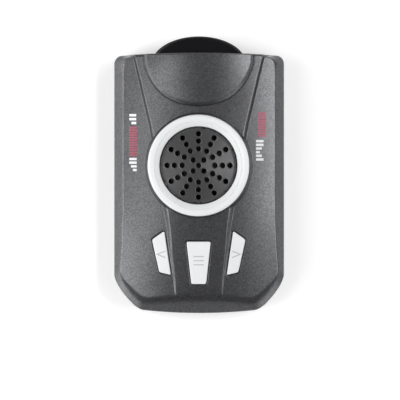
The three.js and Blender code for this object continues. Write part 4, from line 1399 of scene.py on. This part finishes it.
def display_segments():
    """Seven bars for each digit, on the display module's face."""
    face = -(box_mm("display_module")[0][1] + 0.3)
    centre_z = middle_mm("display_module")[2]
    bars = [((0, s * DIGIT_HEIGHT / 2), False) for s in (-1, 0, 1)]
    bars += [
        ((s * DIGIT_WIDTH / 2, t * DIGIT_HEIGHT / 4), True) for s in (-1, 1) for t in (-1, 1)
    ]
    made = None
    for digit_x in DIGITS:
        for (x, z), upright in bars:
            loop = segment_loop(upright) + [x + digit_x, z + centre_z]
            bar = slab("bar", loop, face - 0.02, face + 0.12, [SEGMENT], 0.03, to_rear)
            made = combine(made, "UNION", bar) if made else bar
    made.name = "display_segments"
    piece(made, "diode_tinted")


display_segments()


# ---- Materials of the CAD pieces that stay ----

for row in frame["record"]["subparts"]:
    node = frame["nodes"][row["node"]]
    if not node.hide_render:
        node.data.materials.clear()
        node.data.materials.append(SURFACES[row["material_slot"]])


# ---- Floor, lights and camera ----

FLOOR_GLOW = 0.28
SWEEP = [
    (0.6, 0), (1.6, 0), (3.0, 0), (3.4, 0.04), (3.7, 0.18), (3.9, 0.45), (4.0, 0.9), (4.0, 1.7),
]


FLOOR_SEGMENTS = 96


def floor():
    """A pale floor, which glows a little and curves up far away. SWEEP is (radius, height)."""
    material = bpy.data.materials.new("floor_white")
    material.use_nodes = True
    shader = material.node_tree.nodes["Principled BSDF"]
    for name, value in (
        ("Base Color", (0.93, 0.93, 0.93, 1)), ("Roughness", 0.9),
        ("Emission Color", (1, 1, 1, 1)), ("Emission Strength", FLOOR_GLOW),
    ):
        shader.inputs[name].default_value = value
    count = FLOOR_SEGMENTS
    angles = np.linspace(0, 2 * math.pi, count, endpoint=False)
    vertices = [(r * math.cos(a), r * math.sin(a), z) for r, z in SWEEP for a in angles]
    faces = [tuple(range(count))]
    for first in range(0, (len(SWEEP) - 1) * count, count):
        for i in range(count):
            j = (i + 1) % count
            faces.append((first + i, first + count + i, first + count + j, first + j))
    mesh = bpy.data.meshes.new("floor")
    mesh.from_pydata(vertices, [], faces)
    mesh.materials.append(material)
    mesh.shade_smooth()
    made = bpy.data.objects.new("floor", mesh)
    bpy.context.scene.collection.objects.link(made)


def soft_light(name, place, turn, size, power):
    """A rectangular light with a size of (width, length), in metres like its place."""
    data = bpy.data.lights.new(name, "AREA")
    data.shape = "RECTANGLE"
    data.size, data.size_y = size
    data.energy = power
    light = bpy.data.objects.new(name, data)
    light.location = place
    light.rotation_euler = turn
    bpy.context.scene.collection.objects.link(light)


LIGHT_HEIGHT = 0.75

# Lights above the detector, each tilted about Y to face it: x, rear, front, width and power
OVERHEAD = {
    "left_wide": (-0.75, -0.3, 0.3, 0.3, 4),
    "right_wide": (0.75, -0.3, 0.3, 0.3, 3.4),
    "left_strip": (-0.22, -0.06, 0.10, 0.10, 0.27),
    "left_rear_strip": (-0.38, -0.32, -0.06, 0.22, 0.80),
    "right_strip": (0.335, -0.06, 0.50, 0.12, 1.75),
    "right_rear_strip": (0.30, -0.32, -0.06, 0.15, 0.16),
}
# Upright lights beside it that face it: place, size and power
PANELS = {
    "left_panel": ((-1.0, 0, 0.12), (1.6, 0.5), 5.5),
    "left_corner_panel": ((-0.75, -0.75, 0.15), (0.5, 0.5), 1.2),
    "right_corner_panel": ((0.75, -0.75, 0.15), (0.5, 0.5), 1.2),
}
WORLD_STRENGTH = 0.12

floor()
for name, (x, rear, front, width, power) in OVERHEAD.items():
    turn = (0, math.atan2(x, LIGHT_HEIGHT), 0)
    place = (x, (rear + front) / 2, LIGHT_HEIGHT)
    soft_light(name, place, turn, (width, front - rear), power)
for name, (place, size, power) in PANELS.items():
    turn = (-Vector(place)).to_track_quat("-Z", "Y").to_euler()
    soft_light(name, place, turn, size, power)

world = bpy.data.worlds.new("studio")
world.use_nodes = True
background = world.node_tree.nodes["Background"]
background.inputs["Color"].default_value = (1, 1, 1, 1)
background.inputs["Strength"].default_value = WORLD_STRENGTH
bpy.context.scene.world = world
bpy.context.scene.view_settings.view_transform = "Standard"

VIEW_WIDTH = 0.1651
VIEW_CENTRE = Vector((0.00035, -0.0103, 0.016))
VIEW_TILT = 1.4
LENS_LENGTH = 300

camera_data = bpy.data.cameras.new("camera")
camera_data.lens = LENS_LENGTH
camera = bpy.data.objects.new("camera", camera_data)
camera.rotation_euler = (0, math.radians(VIEW_TILT), 0)
view_distance = VIEW_WIDTH / camera_data.sensor_width * camera_data.lens
back = camera.rotation_euler.to_matrix() @ Vector((0, 0, view_distance))
camera.location = VIEW_CENTRE + back
bpy.context.scene.collection.objects.link(camera)
bpy.context.scene.camera = camera
